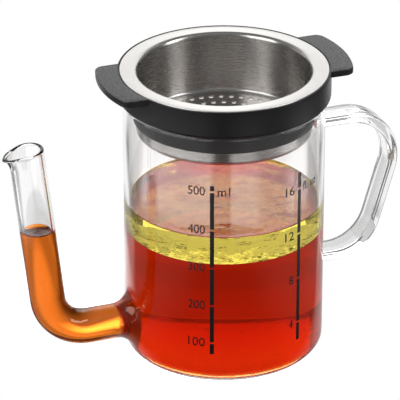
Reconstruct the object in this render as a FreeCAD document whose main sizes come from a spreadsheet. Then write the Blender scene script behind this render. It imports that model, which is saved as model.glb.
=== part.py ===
"""Gravy fat separator: a glass jug with a low spout and a lift-out strainer in a collar.

The frame: +Z up, the origin on the beaker's axis where it stands, the spout towards -X, the
handle towards +X and the volume scales on the front, towards -Y. Lengths are in millimetres and
angles in degrees. Every driving size is a cell of the sheet, and each sketch is held by formulas
of those cells, so the assembly follows when a cell changes.
"""

import FreeCAD, Part

import math
import os

import Sketcher

# Driving sizes, one cell each.
SIZES = {
    # beaker
    "glass_radius": 43.95,
    "glass_wall": 2.2,
    "glass_floor": 2.8,
    "glass_height": 119.4,
    "glass_corner": 6.3,
    "glass_inner_corner": 4.5,
    # spout: a tube that leaves the beaker low, bends up and leans away from it
    "spout_radius": 7.75,
    "spout_wall": 1.6,
    "spout_height_low": 18.3,
    "spout_offset": 36.15,
    "spout_bend": 18.5,
    "spout_lean": 6.5,
    "spout_drop": 11.6,
    "lip_length": 9.0,
    "lip_beak": 3.1,
    "lip_tilt": 4.9,
    "spout_root": 8.0,
    # handle: a flat strap
    "handle_width": 12.0,
    "handle_thickness": 4.9,
    "handle_edge": 1.5,
    "handle_root": 1.8,
    "handle_drop": 18.0,
    "handle_height_low": 35.3,
    "handle_offset": 34.1,
    "handle_bend_top": 20.9,
    "handle_bend_low": 20.3,
    "handle_lean": 16.2,
    # volume scales
    "print_thickness": 0.12,
    "bar_width": 1.8,
    "bar_gap": 0.95,
    "bar_margin_low": 5.4,
    "bar_margin_top": 2.8,
    "bar_angle": 27.0,
    # clearances
    "seat_gap": 0.2,
    "seal_fit": 0.3,
    "seal_play": 0.1,
    "bowl_fit": 0.3,
    "flange_fit": 0.25,
    # collar and seal
    "collar_height": 12.8,
    "collar_lip": 0.7,
    "collar_round": 2.0,
    "ear_reach": 9.4,
    "ear_half_width": 20.0,
    "ear_thickness": 2.8,
    "ear_corner": 4.0,
    "ear_edge": 0.5,
    "seal_depth": 9.2,
    "seal_taper": 2.2,
    "seal_land": 2.2,
    "seal_flange": 1.2,
    # strainer bowl
    "steel": 0.7,
    "bowl_inset": 3.4,
    "bowl_depth": 28.8,
    "bowl_corner": 2.6,
    "bowl_roll": 2.0,
    "flange_width": 7.05,
    "hole_radius": 1.25,
    "hole_spacing": 4.45,
    "hole_ring_step": 6.0,
    "hole_ring_edge": 5.7,
    "hole_ring_least": 5.0,
}

PRINT_MARKS_ML = (100, 200, 300, 400, 500)
PRINT_MARKS_OZ = (4, 8, 12, 16)
ML_PER_OZ = 29.5735
MM3_PER_ML = 1000.0

# How the spout's lip is drawn: sections up it, points round each one, and how narrow its beak is.
LIP_SECTIONS = 3
LIP_POINTS = 24
BEAK_SHARPNESS = 4

# Places closer than this are the same place.
NEAR = 1e-3


class Size:
    """A number together with the formula of sheet cells that it comes from."""

    def __init__(self, value, formula):
        self.value = float(value)
        self.formula = formula

    def __add__(self, other):
        other = sized(other)
        return Size(self.value + other.value, f"({self.formula} + {other.formula})")

    def __sub__(self, other):
        other = sized(other)
        return Size(self.value - other.value, f"({self.formula} - {other.formula})")

    def __mul__(self, other):
        other = sized(other)
        return Size(self.value * other.value, f"({self.formula} * {other.formula})")

    def __truediv__(self, other):
        other = sized(other)
        return Size(self.value / other.value, f"({self.formula} / {other.formula})")

    def __neg__(self):
        return Size(-self.value, f"(0 - {self.formula})")


def sized(item):
    """A plain number as a Size."""
    return item if isinstance(item, Size) else Size(item, repr(float(item)))


def sine(angle):
    return Size(math.sin(math.radians(angle.value)), f"sin({angle.formula} * 1 deg)")


def cosine(angle):
    return Size(math.cos(math.radians(angle.value)), f"cos({angle.formula} * 1 deg)")


def root(number):
    return Size(math.sqrt(number.value), f"sqrt({number.formula})")


doc = FreeCAD.newDocument("fat_separator")
sheet = doc.addObject("Spreadsheet::Sheet", "sizes")
for row, (alias, amount) in enumerate(SIZES.items(), start=1):
    sheet.set(f"A{row}", alias)
    sheet.set(f"B{row}", str(amount))
    sheet.setAlias(f"B{row}", alias)
doc.recompute()


def cell(alias):
    """The named cell as a Size."""
    return Size(getattr(sheet, alias), f"sizes.{alias}")


# Places that more than one piece is worked out from.
glass_radius = cell("glass_radius")
glass_bore = glass_radius - cell("glass_wall")
glass_height = cell("glass_height")
spout_bore = cell("spout_radius") - cell("spout_wall")
collar_low = glass_height + cell("seat_gap")
collar_top = collar_low + cell("collar_height")
seal_top = collar_low + cell("seal_flange")
bowl_radius = glass_bore - cell("bowl_inset")
bowl_clear = bowl_radius + cell("bowl_fit")
flange_radius = bowl_radius + cell("flange_width")
recess_radius = flange_radius + cell("flange_fit")
collar_radius = recess_radius + cell("collar_lip")
flange_under = collar_top - cell("steel")
recess_floor = flange_under - cell("seat_gap")
bowl_bottom = collar_top - cell("bowl_depth")


def bind(thing, path, amount):
    """Ties one property to the formula of a Size."""
    thing.setExpression(path, sized(amount).formula)


def new_body(label):
    body = doc.addObject("PartDesign::Body", label)
    body.Label = label
    return body


def new_sketch(body, name, plane, lift=None):
    """A sketch on one of the body's own origin planes, raised along its normal by lift."""
    sketch = body.newObject("Sketcher::SketchObject", f"{body.Name}_{name}")
    support = next(f for f in body.Origin.OriginFeatures if f.Role == plane)
    sketch.AttachmentSupport = [(support, "")]
    sketch.MapMode = "FlatFace"
    if lift is not None:
        bind(sketch, "AttachmentOffset.Base.z", lift)
    return sketch


class Outline:
    """A chain of lines and arcs in a sketch. Sizes hold both coordinates of every corner."""

    def __init__(self, sketch, x, y):
        self.sketch = sketch
        self.first = None
        self.last = None
        self.here = (sized(x), sized(y))
        self.start = self.here

    def hold(self, geometry, end, x=None, y=None):
        """Fixes the coordinates that are given of one end, or of a centre."""
        for kind, amount in (("DistanceX", x), ("DistanceY", y)):
            if amount is None:
                continue
            rule = Sketcher.Constraint(kind, -1, 1, geometry, end, sized(amount).value)
            number = self.sketch.addConstraint(rule)
            name = f"{kind}_{geometry}_{end}"
            self.sketch.renameConstraint(number, name)
            bind(self.sketch, f"Constraints.{name}", amount)

    def join(self, geometry, entry, leave):
        """Joins a new line or arc to the end of the chain."""
        if self.first is None:
            self.first = (geometry, entry)
            self.hold(geometry, entry, *self.here)
        else:
            self.sketch.addConstraint(Sketcher.Constraint("Coincident", *self.last, geometry, entry))
        self.last = (geometry, leave)

    def line(self, x, y):
        """A straight run to x, y."""
        self.straight(x, y)
        self.hold(*self.last, x, y)

    def straight(self, x, y):
        ends = [FreeCAD.Vector(self.here[0].value, self.here[1].value, 0)]
        ends.append(FreeCAD.Vector(sized(x).value, sized(y).value, 0))
        geometry = self.sketch.addGeometry(Part.LineSegment(*ends), False)
        self.join(geometry, 1, 2)
        self.here = (sized(x), sized(y))

    def arc(self, x, y, centre_x, centre_y, turn):
        """An arc to x, y about a centre. turn is 1 anticlockwise and -1 clockwise."""
        centre = FreeCAD.Vector(sized(centre_x).value, sized(centre_y).value, 0)
        begin = FreeCAD.Vector(self.here[0].value, self.here[1].value, 0) - centre
        finish = FreeCAD.Vector(sized(x).value, sized(y).value, 0) - centre
        here = math.atan2(begin.y, begin.x)
        there = math.atan2(finish.y, finish.x)
        low, high = (here, there) if turn > 0 else (there, here)
        if high <= low:
            high += 2 * math.pi
        circle = Part.Circle(centre, FreeCAD.Vector(0, 0, 1), begin.Length)
        geometry = self.sketch.addGeometry(Part.ArcOfCircle(circle, low, high), False)
        entry, leave = (1, 2) if turn > 0 else (2, 1)
        self.join(geometry, entry, leave)
        self.hold(geometry, 3, centre_x, centre_y)
        if abs(finish.y) > abs(finish.x):
            self.hold(geometry, leave, x=x)
        else:
            self.hold(geometry, leave, y=y)
        self.here = (sized(x), sized(y))

    def close(self):
        """A straight run back to the first corner."""
        self.straight(*self.start)
        self.sketch.addConstraint(Sketcher.Constraint("Coincident", *self.last, *self.first))


def round_hole(sketch, x, y, radius):
    """One circle at x, y."""
    centre = FreeCAD.Vector(sized(x).value, sized(y).value, 0)
    circle = Part.Circle(centre, FreeCAD.Vector(0, 0, 1), radius.value)
    geometry = sketch.addGeometry(circle, False)
    Outline(sketch, x, y).hold(geometry, 3, x, y)
    number = sketch.addConstraint(Sketcher.Constraint("Radius", geometry, radius.value))
    sketch.renameConstraint(number, f"Radius_{geometry}")
    bind(sketch, f"Constraints.Radius_{geometry}", radius)


def turned(body, kind, sketch):
    """The sketch turned round the Z axis, added to the body or cut from it."""
    feature = body.newObject(f"PartDesign::{kind}", f"{sketch.Name}_turned")
    feature.Profile = sketch
    feature.ReferenceAxis = (sketch, ["V_Axis"])
    feature.Angle = 360
    doc.recompute()
    return feature


def cut_through(body, sketch, length, reverse):
    """A pocket of a set length that has to take material away."""
    before = body.Tip.Shape.Volume
    pocket = body.newObject("PartDesign::Pocket", f"{sketch.Name}_cut")
    pocket.Profile = sketch
    bind(pocket, "Length", length)
    pocket.Reversed = reverse
    doc.recompute()
    if not pocket.Shape.Volume < before:
        raise ValueError(f"{pocket.Name} cuts nothing")
    return pocket


def edge_names(shape, wanted):
    """The names of the edges whose middle point passes a test."""
    found = []
    for number, edge in enumerate(shape.Edges, start=1):
        middle = edge.valueAt((edge.FirstParameter + edge.LastParameter) / 2)
        if wanted(edge, middle):
            found.append(f"Edge{number}")
    return found


def glass_beaker():
    """The turned beaker, with the hole that the spout joins."""
    body = new_body("glass_beaker")
    corner = cell("glass_corner")
    inner = cell("glass_inner_corner")
    floor = cell("glass_floor")
    lip = cell("glass_wall") / 2
    sketch = new_sketch(body, "profile", "XZ_Plane")
    line = Outline(sketch, 0, 0)
    line.line(glass_radius - corner, 0)
    line.arc(glass_radius, corner, glass_radius - corner, corner, 1)
    line.line(glass_radius, glass_height - lip)
    line.arc(glass_bore, glass_height - lip, glass_radius - lip, glass_height - lip, 1)
    line.line(glass_bore, floor + inner)
    line.arc(glass_bore - inner, floor, glass_bore - inner, floor + inner, -1)
    line.line(0, floor)
    line.close()
    turned(body, "Revolution", sketch)
    hole = new_sketch(body, "spout_hole", "YZ_Plane")
    round_hole(hole, 0, cell("spout_height_low"), spout_bore)
    cut_through(body, hole, glass_radius + cell("glass_wall"), False)
    return body


def spout_route():
    """The spout's axis: along the arm, round the bend and up the leaning leg to the lip."""
    lean = math.radians(sheet.spout_lean)
    start = FreeCAD.Vector(-glass_bore.value, 0, sheet.spout_height_low)
    crossing = FreeCAD.Vector(-(sheet.glass_radius + sheet.spout_offset), 0, start.z)
    upwards = FreeCAD.Vector(-math.sin(lean), 0, math.cos(lean))
    rise = sheet.glass_height - sheet.spout_drop - start.z
    top = crossing + upwards * (rise / math.cos(lean))
    turn = math.pi / 2 - lean
    tangent = sheet.spout_bend * math.tan(turn / 2)
    bend_start = crossing + FreeCAD.Vector(tangent, 0, 0)
    bend_end = crossing + upwards * tangent
    centre = bend_start + FreeCAD.Vector(0, 0, sheet.spout_bend)
    inwards = (crossing - centre).normalize()
    middle = centre + inwards * sheet.spout_bend
    lip_start = top - upwards * sheet.lip_length
    wire = Part.Wire(
        [
            Part.LineSegment(start, bend_start).toShape(),
            Part.Arc(bend_start, middle, bend_end).toShape(),
            Part.LineSegment(bend_end, lip_start).toShape(),
        ]
    )
    return wire, lip_start


def lip_section(radius, part_way):
    """The lip's outline part of the way up it, drawn out and tilted down towards its beak."""
    growth = part_way**2
    slope = math.tan(math.radians(sheet.lip_tilt)) * growth
    points = []
    for number in range(LIP_POINTS):
        angle = 2 * math.pi * number / LIP_POINTS
        beak = ((1 + math.cos(angle)) / 2) ** BEAK_SHARPNESS
        reach = radius + sheet.lip_beak * growth * beak
        forward = reach * math.cos(angle)
        height = sheet.lip_length * part_way - (forward + sheet.spout_radius) * slope
        points.append(FreeCAD.Vector(forward, reach * math.sin(angle), height))
    curve = Part.BSplineCurve()
    curve.interpolate(points, PeriodicFlag=True)
    return Part.Wire(curve.toShape())


def spout_core(wire, lip_start, radius):
    """A solid round bar along the route, with the beaked lip of that radius on its end."""
    start = wire.OrderedVertexes[0].Point
    ring = Part.Wire(Part.makeCircle(radius, start, FreeCAD.Vector(-1, 0, 0)))
    bar = wire.makePipeShell([ring], True, False)
    sections = [Part.Wire(Part.makeCircle(radius))]
    for step in range(LIP_SECTIONS):
        sections.append(lip_section(radius, (step + 1) / LIP_SECTIONS))
    lip = Part.makeLoft(sections, True, False)
    leaning = FreeCAD.Rotation(FreeCAD.Vector(0, 1, 0), -sheet.spout_lean)
    outwards = FreeCAD.Rotation(FreeCAD.Vector(0, 0, 1), 180)
    lip.Placement = FreeCAD.Placement(lip_start, leaning.multiply(outwards))
    return bar.fuse(lip)


def beaker_block():
    """The beaker's outside as one solid block, for the roots that are cut to it."""
    radius = sheet.glass_radius
    corner = sheet.glass_corner
    slant = corner * math.sqrt(0.5)
    foot = FreeCAD.Vector(radius - corner, 0, 0)
    round_middle = FreeCAD.Vector(radius - corner + slant, 0, corner - slant)
    side = FreeCAD.Vector(radius, 0, corner)
    rim = FreeCAD.Vector(radius, 0, sheet.glass_height)
    top = FreeCAD.Vector(0, 0, sheet.glass_height)
    bottom = FreeCAD.Vector(0, 0, 0)
    outline = Part.Wire(
        [
            Part.LineSegment(bottom, foot).toShape(),
            Part.Arc(foot, round_middle, side).toShape(),
            Part.LineSegment(side, rim).toShape(),
            Part.LineSegment(rim, top).toShape(),
            Part.LineSegment(top, bottom).toShape(),
        ]
    )
    return Part.Face(outline).revolve(bottom, FreeCAD.Vector(0, 0, 1), 360)


def meets_beaker(edge):
    """True for an edge that lies on the beaker's outside all the way."""
    first, last = edge.ParameterRange
    places = [edge.valueAt(first + (last - first) * share) for share in (0.0, 0.3, 0.6, 1.0)]
    return all(abs(math.hypot(at.x, at.y) - sheet.glass_radius) < NEAR for at in places)


def glass_spout():
    """The bent tube with its drawn-out root and beaked lip, cut to the beaker's side."""
    wire, lip_start = spout_route()
    block = beaker_block()
    joined = block.fuse(spout_core(wire, lip_start, sheet.spout_radius)).removeSplitter()
    reach = sheet.spout_radius + sheet.spout_wall
    seam = [
        edge
        for edge in joined.Edges
        if meets_beaker(edge)
        and abs(edge.CenterOfMass.z - sheet.spout_height_low) < reach
        and abs(edge.CenterOfMass.y) < reach
    ]
    rooted = joined.makeFillet(sheet.spout_root, seam)
    bore = spout_core(wire, lip_start, spout_bore.value)
    shape = rooted.cut(bore).cut(block).removeSplitter()
    if len(shape.Solids) != 1:
        raise ValueError("the spout is not one solid")
    spout = doc.addObject("Part::Feature", "glass_spout")
    spout.Shape = shape.Solids[0]
    return spout


def beaker_outside(body, name):
    """A sketch of the beaker's outside, from its axis, as beaker_block has it."""
    corner = cell("glass_corner")
    sketch = new_sketch(body, name, "XZ_Plane")
    line = Outline(sketch, 0, 0)
    line.line(glass_radius - corner, 0)
    line.arc(glass_radius, corner, glass_radius - corner, corner, 1)
    line.line(glass_radius, glass_height)
    line.line(0, glass_height)
    line.close()
    return sketch


def glass_handle():
    """The flat strap: out from the beaker near its rim, down, and slanting back in low down."""
    body = new_body("glass_handle")
    turned(body, "Revolution", beaker_outside(body, "block"))
    sin = sine(cell("handle_lean"))
    cos = cosine(cell("handle_lean"))
    top = glass_height - cell("handle_drop")
    low = cell("handle_height_low")
    big = cell("handle_bend_top")
    small = cell("handle_bend_low")
    high_x = glass_radius + cell("handle_offset") - big
    high_z = top - big
    low_z = low + small
    run = (high_z - (big - small) * sin - low_z) / cos
    low_x = high_x + (big - small) * cos - run * sin
    route = new_sketch(body, "route", "XZ_Plane")
    line = Outline(route, glass_bore, top)
    line.line(high_x, top)
    line.arc(high_x + big * cos, high_z - big * sin, high_x, high_z, -1)
    line.line(low_x + small * cos, low_z - small * sin)
    line.arc(low_x, low, low_x, low_z, -1)
    line.line(glass_bore, low)
    half_width = cell("handle_width") / 2
    half_thickness = cell("handle_thickness") / 2
    section = new_sketch(body, "section", "YZ_Plane", glass_bore)
    edge = cell("handle_edge")
    y_flat = half_width - edge
    z_flat = half_thickness - edge
    line = Outline(section, -half_width, top - z_flat)
    line.arc(-y_flat, top - half_thickness, -y_flat, top - z_flat, 1)
    line.line(y_flat, top - half_thickness)
    line.arc(half_width, top - z_flat, y_flat, top - z_flat, 1)
    line.line(half_width, top + z_flat)
    line.arc(y_flat, top + half_thickness, y_flat, top + z_flat, 1)
    line.line(-y_flat, top + half_thickness)
    line.arc(-half_width, top + z_flat, -y_flat, top + z_flat, 1)
    line.close()
    strap = body.newObject("PartDesign::AdditivePipe", "handle_strap")
    strap.Profile = section
    strap.Spine = route
    doc.recompute()
    seams = edge_names(strap.Shape, is_handle_seam)
    roots = body.newObject("PartDesign::Fillet", "handle_roots")
    roots.Base = (strap, seams)
    bind(roots, "Radius", cell("handle_root"))
    doc.recompute()
    turned(body, "Groove", beaker_outside(body, "cutter"))
    return body


def is_handle_seam(edge, at):
    """True where the handle meets the beaker, and not at the beaker's own rim."""
    beside = at.x > 0 and abs(at.y) < sheet.handle_width
    return beside and at.z < sheet.glass_height - NEAR and meets_beaker(edge)


def level(millilitres):
    """How high a volume in the beaker reaches."""
    rise = sized(millilitres * MM3_PER_ML / math.pi) / (glass_bore * glass_bore)
    return cell("glass_floor") + rise


def levels_below_seal(amounts):
    """The levels of the volumes that leave the print clear of the seal."""
    room = glass_height - cell("seal_depth") - cell("bar_margin_top")
    levels = [level(amount) for amount in amounts]
    return [height for height in levels if height.value < room.value]


def scale_bar(label, centre_angle, amounts):
    """A printed bar on the beaker's outside, broken at each volume, as one compound."""
    outside = glass_radius + cell("print_thickness")
    bar_levels = levels_below_seal(PRINT_MARKS_ML)
    low = bar_levels[0] - cell("bar_margin_low")
    high = bar_levels[-1] + cell("bar_margin_top")
    spread = cell("bar_width") / glass_radius * (180 / math.pi)
    sector = doc.addObject("Part::Cylinder", f"{label}_sector")
    bind(sector, "Radius", outside)
    bind(sector, "Height", high - low)
    bind(sector, "Angle", spread)
    bind(sector, "Placement.Base.z", low)
    # The turn needs an axis before its angle can follow a formula, and the angle stays above 0.
    sector.Placement.Rotation = FreeCAD.Rotation(FreeCAD.Vector(0, 0, 1), 1)
    bind(sector, "Placement.Rotation.Angle", centre_angle - spread / 2 + 360)
    core = doc.addObject("Part::Cylinder", f"{label}_core")
    bind(core, "Radius", glass_radius)
    bind(core, "Height", glass_height)
    cutters = [core]
    for number, height in enumerate(levels_below_seal(amounts)):
        gap = doc.addObject("Part::Cylinder", f"{label}_gap_{number}")
        bind(gap, "Radius", outside + cell("print_thickness"))
        bind(gap, "Height", cell("bar_gap"))
        bind(gap, "Placement.Base.z", height - cell("bar_gap") / 2)
        cutters.append(gap)
    waste = doc.addObject("Part::MultiFuse", f"{label}_waste")
    waste.Shapes = cutters
    bar = doc.addObject("Part::Cut", label)
    bar.Base = sector
    bar.Tool = waste
    bar.Label = label
    return bar


def ml_scale():
    return scale_bar("ml_scale", -cell("bar_angle") - 90, PRINT_MARKS_ML)


def oz_scale():
    amounts = [ounces * ML_PER_OZ for ounces in PRINT_MARKS_OZ]
    return scale_bar("oz_scale", cell("bar_angle") - 90, amounts)


def collar():
    """The ring that sits over the rim, with two ears, a recess for the flange and a seal seat."""
    body = new_body("collar")
    ear_radius = collar_radius + cell("ear_reach")
    half = cell("ear_half_width")
    reach = root(ear_radius * ear_radius - half * half)
    plate = new_sketch(body, "ears", "XY_Plane", collar_top - cell("ear_thickness"))
    line = Outline(plate, reach, -half)
    line.arc(reach, half, 0, 0, 1)
    line.line(-reach, half)
    line.arc(-reach, -half, 0, 0, 1)
    line.close()
    pad = body.newObject("PartDesign::Pad", "ear_plate")
    pad.Profile = plate
    bind(pad, "Length", cell("ear_thickness"))
    doc.recompute()
    corners = edge_names(pad.Shape, lambda edge, at: is_upright(edge))
    rounded = body.newObject("PartDesign::Fillet", "ear_corners")
    rounded.Base = (pad, corners)
    bind(rounded, "Radius", cell("ear_corner"))
    doc.recompute()
    middle = (collar_low + cell("collar_height") / 2).value
    rims = edge_names(rounded.Shape, lambda edge, at: is_level(edge) and at.z > middle)
    bevel = body.newObject("PartDesign::Chamfer", "ear_bevel")
    bevel.Base = (rounded, rims)
    bind(bevel, "Size", cell("ear_edge"))
    doc.recompute()
    ring = new_sketch(body, "ring", "XZ_Plane")
    edge = cell("collar_round")
    line = Outline(ring, 0, collar_low)
    line.line(collar_radius - edge, collar_low)
    line.arc(collar_radius, collar_low + edge, collar_radius - edge, collar_low + edge, 1)
    line.line(collar_radius, collar_top)
    line.line(0, collar_top)
    line.close()
    turned(body, "Revolution", ring)
    inside = new_sketch(body, "inside", "XZ_Plane")
    line = Outline(inside, 0, collar_low)
    line.line(glass_radius, collar_low)
    line.line(glass_radius, seal_top)
    line.line(bowl_clear, seal_top)
    line.line(bowl_clear, recess_floor)
    line.line(recess_radius, recess_floor)
    line.line(recess_radius, collar_top)
    line.line(0, collar_top)
    line.close()
    turned(body, "Groove", inside)
    return body


def is_upright(edge):
    ends = [vertex.Point for vertex in edge.Vertexes]
    return abs(ends[0].z - ends[-1].z) > NEAR


def is_level(edge):
    return not is_upright(edge)


def seal_ring():
    """The soft ring under the collar: a flange on the rim and a tapered skirt in the mouth."""
    body = new_body("seal_ring")
    outer = glass_bore - cell("seal_fit")
    low = glass_height - cell("seal_depth")
    sketch = new_sketch(body, "profile", "XZ_Plane")
    line = Outline(sketch, bowl_clear, low)
    line.line(outer - cell("seal_taper"), low)
    line.line(outer, glass_height - cell("seal_land"))
    line.line(outer, collar_low)
    line.line(glass_radius - cell("seal_play"), collar_low)
    line.line(glass_radius - cell("seal_play"), seal_top)
    line.line(bowl_clear, seal_top)
    line.close()
    turned(body, "Revolution", sketch)
    return body


def strainer_bowl():
    """The pressed steel bowl: rolled flange, straight wall, flat floor with rings of holes."""
    body = new_body("strainer_bowl")
    steel = cell("steel")
    corner = cell("bowl_corner")
    roll = cell("bowl_roll")
    inner = bowl_radius - steel
    lip = steel / 2
    sketch = new_sketch(body, "profile", "XZ_Plane")
    line = Outline(sketch, 0, bowl_bottom)
    line.line(bowl_radius - corner, bowl_bottom)
    line.arc(bowl_radius, bowl_bottom + corner, bowl_radius - corner, bowl_bottom + corner, 1)
    line.line(bowl_radius, flange_under)
    line.line(flange_radius - lip, flange_under)
    line.arc(flange_radius - lip, collar_top, flange_radius - lip, collar_top - lip, 1)
    line.line(inner + roll, collar_top)
    line.arc(inner, collar_top - roll, inner + roll, collar_top - roll, 1)
    line.line(inner, bowl_bottom + corner)
    bend = corner - steel
    line.arc(inner - bend, bowl_bottom + steel, inner - bend, bowl_bottom + corner, -1)
    line.line(0, bowl_bottom + steel)
    line.close()
    turned(body, "Revolution", sketch)
    ring_radius = inner - cell("hole_ring_edge")
    while ring_radius.value > sheet.hole_ring_least:
        name = f"ring_{ring_radius.value:.0f}"
        hole = new_sketch(body, f"hole_of_{name}", "XY_Plane", bowl_bottom)
        round_hole(hole, 0, ring_radius, cell("hole_radius"))
        pocket = cut_through(body, hole, steel, True)
        pattern = body.newObject("PartDesign::PolarPattern", f"holes_of_{name}")
        pattern.Originals = [pocket]
        pattern.Axis = (hole, ["N_Axis"])
        pattern.Angle = 360
        pattern.Occurrences = int(2 * math.pi * ring_radius.value / sheet.hole_spacing)
        body.Tip = pattern
        doc.recompute()
        ring_radius = ring_radius - cell("hole_ring_step")
    return body


def check(part):
    """Stops if a sub-part, or anything that it is made of, has failed."""
    for thing in doc.Objects:
        if "Invalid" in thing.State or "Error" in thing.State:
            raise ValueError(f"{thing.Name} is {thing.State}")
    if part.Shape.isNull() or not part.Shape.isValid():
        raise ValueError(f"{part.Label} has no valid shape")


parts = [
    glass_beaker(),
    glass_spout(),
    glass_handle(),
    ml_scale(),
    oz_scale(),
    collar(),
    seal_ring(),
    strainer_bowl(),
]
doc.recompute()
os.makedirs("parts", exist_ok=True)
for part in parts:
    check(part)
for part in parts:
    part.Shape.exportStep(f"parts/{part.Label}.step")
    box = part.Shape.BoundBox
    print(f"{part.Label}: {len(part.Shape.Solids)} solids, {part.Shape.Volume:.1f} mm3, {box}")
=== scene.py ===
"""Gravy fat separator: fused glass jug, printed scales, eared collar, seal and strainer bowl.

Run as a script, it dresses the packed model. Lengths are in metres, in the model's own frame:
+Z up, the spout towards -X, the handle towards +X and the scales on the front, towards -Y.
"""

import math

import bmesh
import bpy
from bpy.props import BoolProperty, FloatProperty, FloatVectorProperty, PointerProperty
from mathutils import Matrix, Vector


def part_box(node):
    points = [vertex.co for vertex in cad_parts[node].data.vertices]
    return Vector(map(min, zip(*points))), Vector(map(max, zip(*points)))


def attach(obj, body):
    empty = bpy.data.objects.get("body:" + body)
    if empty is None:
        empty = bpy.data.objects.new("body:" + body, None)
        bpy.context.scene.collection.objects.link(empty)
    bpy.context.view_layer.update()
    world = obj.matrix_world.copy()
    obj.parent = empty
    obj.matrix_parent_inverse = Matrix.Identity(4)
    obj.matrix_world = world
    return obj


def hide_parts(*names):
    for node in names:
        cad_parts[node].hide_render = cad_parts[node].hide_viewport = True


bl_info = {
    "name": "Gravy Fat Separator",
    "version": (1, 0, 0),
    "blender": (4, 5, 0),
    "location": "3D View > Sidebar > Fat Separator",
    "description": "Builds a glass fat separator with its strainer, piece by piece",
    "category": "Object",
}

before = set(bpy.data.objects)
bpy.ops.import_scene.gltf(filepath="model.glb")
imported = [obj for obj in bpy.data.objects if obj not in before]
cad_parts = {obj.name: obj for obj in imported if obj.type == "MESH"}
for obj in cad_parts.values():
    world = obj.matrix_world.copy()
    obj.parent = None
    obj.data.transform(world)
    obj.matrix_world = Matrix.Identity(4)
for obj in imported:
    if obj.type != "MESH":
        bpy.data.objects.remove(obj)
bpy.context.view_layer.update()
BEAKER_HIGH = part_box("glass_beaker")[1]
COLLAR_LOW, COLLAR_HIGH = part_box("collar")
SEAL_LOW, SEAL_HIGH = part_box("seal_ring")
BOWL_LOW, BOWL_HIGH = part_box("strainer_bowl")

MM = 0.001
UP = Vector((0, 0, 1))


# ---------------------------------------------------------------- sizes and colours


def length(name, description, default):
    return FloatProperty(
        name=name, description=description, default=default, unit="LENGTH", precision=5
    )


def angle(name, description, degrees):
    return FloatProperty(
        name=name, description=description, default=math.radians(degrees), subtype="ANGLE"
    )


def colour(name, description, default):
    return FloatVectorProperty(
        name=name, description=description, default=default, subtype="COLOR", size=4, min=0, max=1
    )


def factor(name, description, default):
    return FloatProperty(name=name, description=description, default=default)


class JugSizes(bpy.types.PropertyGroup):
    """The fused glass: beaker, spout and handle"""

    radius: length("Radius", "Outside of the beaker", BEAKER_HIGH.x)
    wall: length("Wall", "Thickness of the beaker's wall", 2.2 * MM)
    floor: length("Floor", "Thickness of the beaker's bottom", 2.8 * MM)
    height: length("Height", "Top of the beaker's rim", BEAKER_HIGH.z)
    corner: length("Corner", "Outer rounding at the bottom", 6.3 * MM)
    inner_corner: length("Inner corner", "Inner rounding at the bottom", 4.5 * MM)
    spout_radius: length("Spout radius", "Outside of the spout's tube", 7.75 * MM)
    spout_wall: length("Spout wall", "Thickness of the spout's glass", 1.6 * MM)
    spout_height: length("Spout height", "Where the spout leaves the beaker", 18.3 * MM)
    spout_offset: length("Spout offset", "From the beaker's side to the leg's line", 36.15 * MM)
    spout_bend: length("Spout bend", "Radius of the bend on the tube's axis", 18.5 * MM)
    spout_lean: angle("Spout lean", "How far the leg leans away from the beaker", 6.5)
    spout_drop: length("Spout drop", "How far the lip stays below the rim", 11.6 * MM)
    spout_root: length("Spout root", "Rounding where the spout is drawn out", 8.0 * MM)
    bore_root: length("Bore root", "Rounding where the bore opens in the beaker", 9.7 * MM)
    lip_length: length("Lip length", "Part of the leg that flares to the beak", 9.0 * MM)
    lip_beak: length("Lip beak", "How far the beak reaches out", 3.0 * MM)
    lip_waist: length("Lip waist", "How far the lip draws in beside the beak", 1.5 * MM)
    lip_drop: length("Lip drop", "How far the beak is drawn down", 0.9 * MM)
    lip_pinch: factor("Lip pinch", "Narrowness of the beak", 9.0)
    lip_tilt: angle("Lip tilt", "How far the lip tips down to its beak", 2.0)
    handle_width: length("Handle width", "Across the strap", 12.0 * MM)
    handle_thickness: length("Handle thickness", "Through the strap", 4.9 * MM)
    handle_edge: length("Handle edge", "Rounding of the strap's corners", 1.5 * MM)
    handle_root: length("Handle root", "Rounding where the strap is fused on", 1.8 * MM)
    handle_drop: length("Handle drop", "Upper arm below the rim", 18.0 * MM)
    handle_low: length("Handle low", "Height of the lower arm", 35.3 * MM)
    handle_offset: length("Handle offset", "Reach of the strap's line from the glass", 34.1 * MM)
    handle_bend_top: length("Upper bend", "Radius of the upper bend", 20.9 * MM)
    handle_bend_low: length("Lower bend", "Radius of the lower bend", 20.3 * MM)
    handle_lean: angle("Handle lean", "How far the grip slants in", 16.2)


class ScaleSizes(bpy.types.PropertyGroup):
    """The numbers beside the printed bars"""

    digit_height: length("Digit height", "Height of a number", 4.1 * MM)
    digit_pitch: length("Digit pitch", "From one digit to the next", 2.6 * MM)
    thickness: length("Thickness", "How far the print stands off the glass", 0.12 * MM)
    bar_angle: angle("Bar angle", "Each bar's place to the side of the front", 27.0)
    number_gap: length("Number gap", "From a bar's middle to its numbers", 3.1 * MM)
    unit_gap: length("Unit gap", "From a bar's middle to its unit", 2.4 * MM)
    number_rise: length("Number rise", "How far a number's middle is above its mark", 0.2 * MM)
    weight: factor("Weight", "Extra weight of the strokes", 0.0)
    ml_width: length("ml width", "Width of the unit of the millilitres", 5.3 * MM)
    oz_width: length("fl. oz width", "Width of the unit of the fluid ounces", 9.6 * MM)


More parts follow.
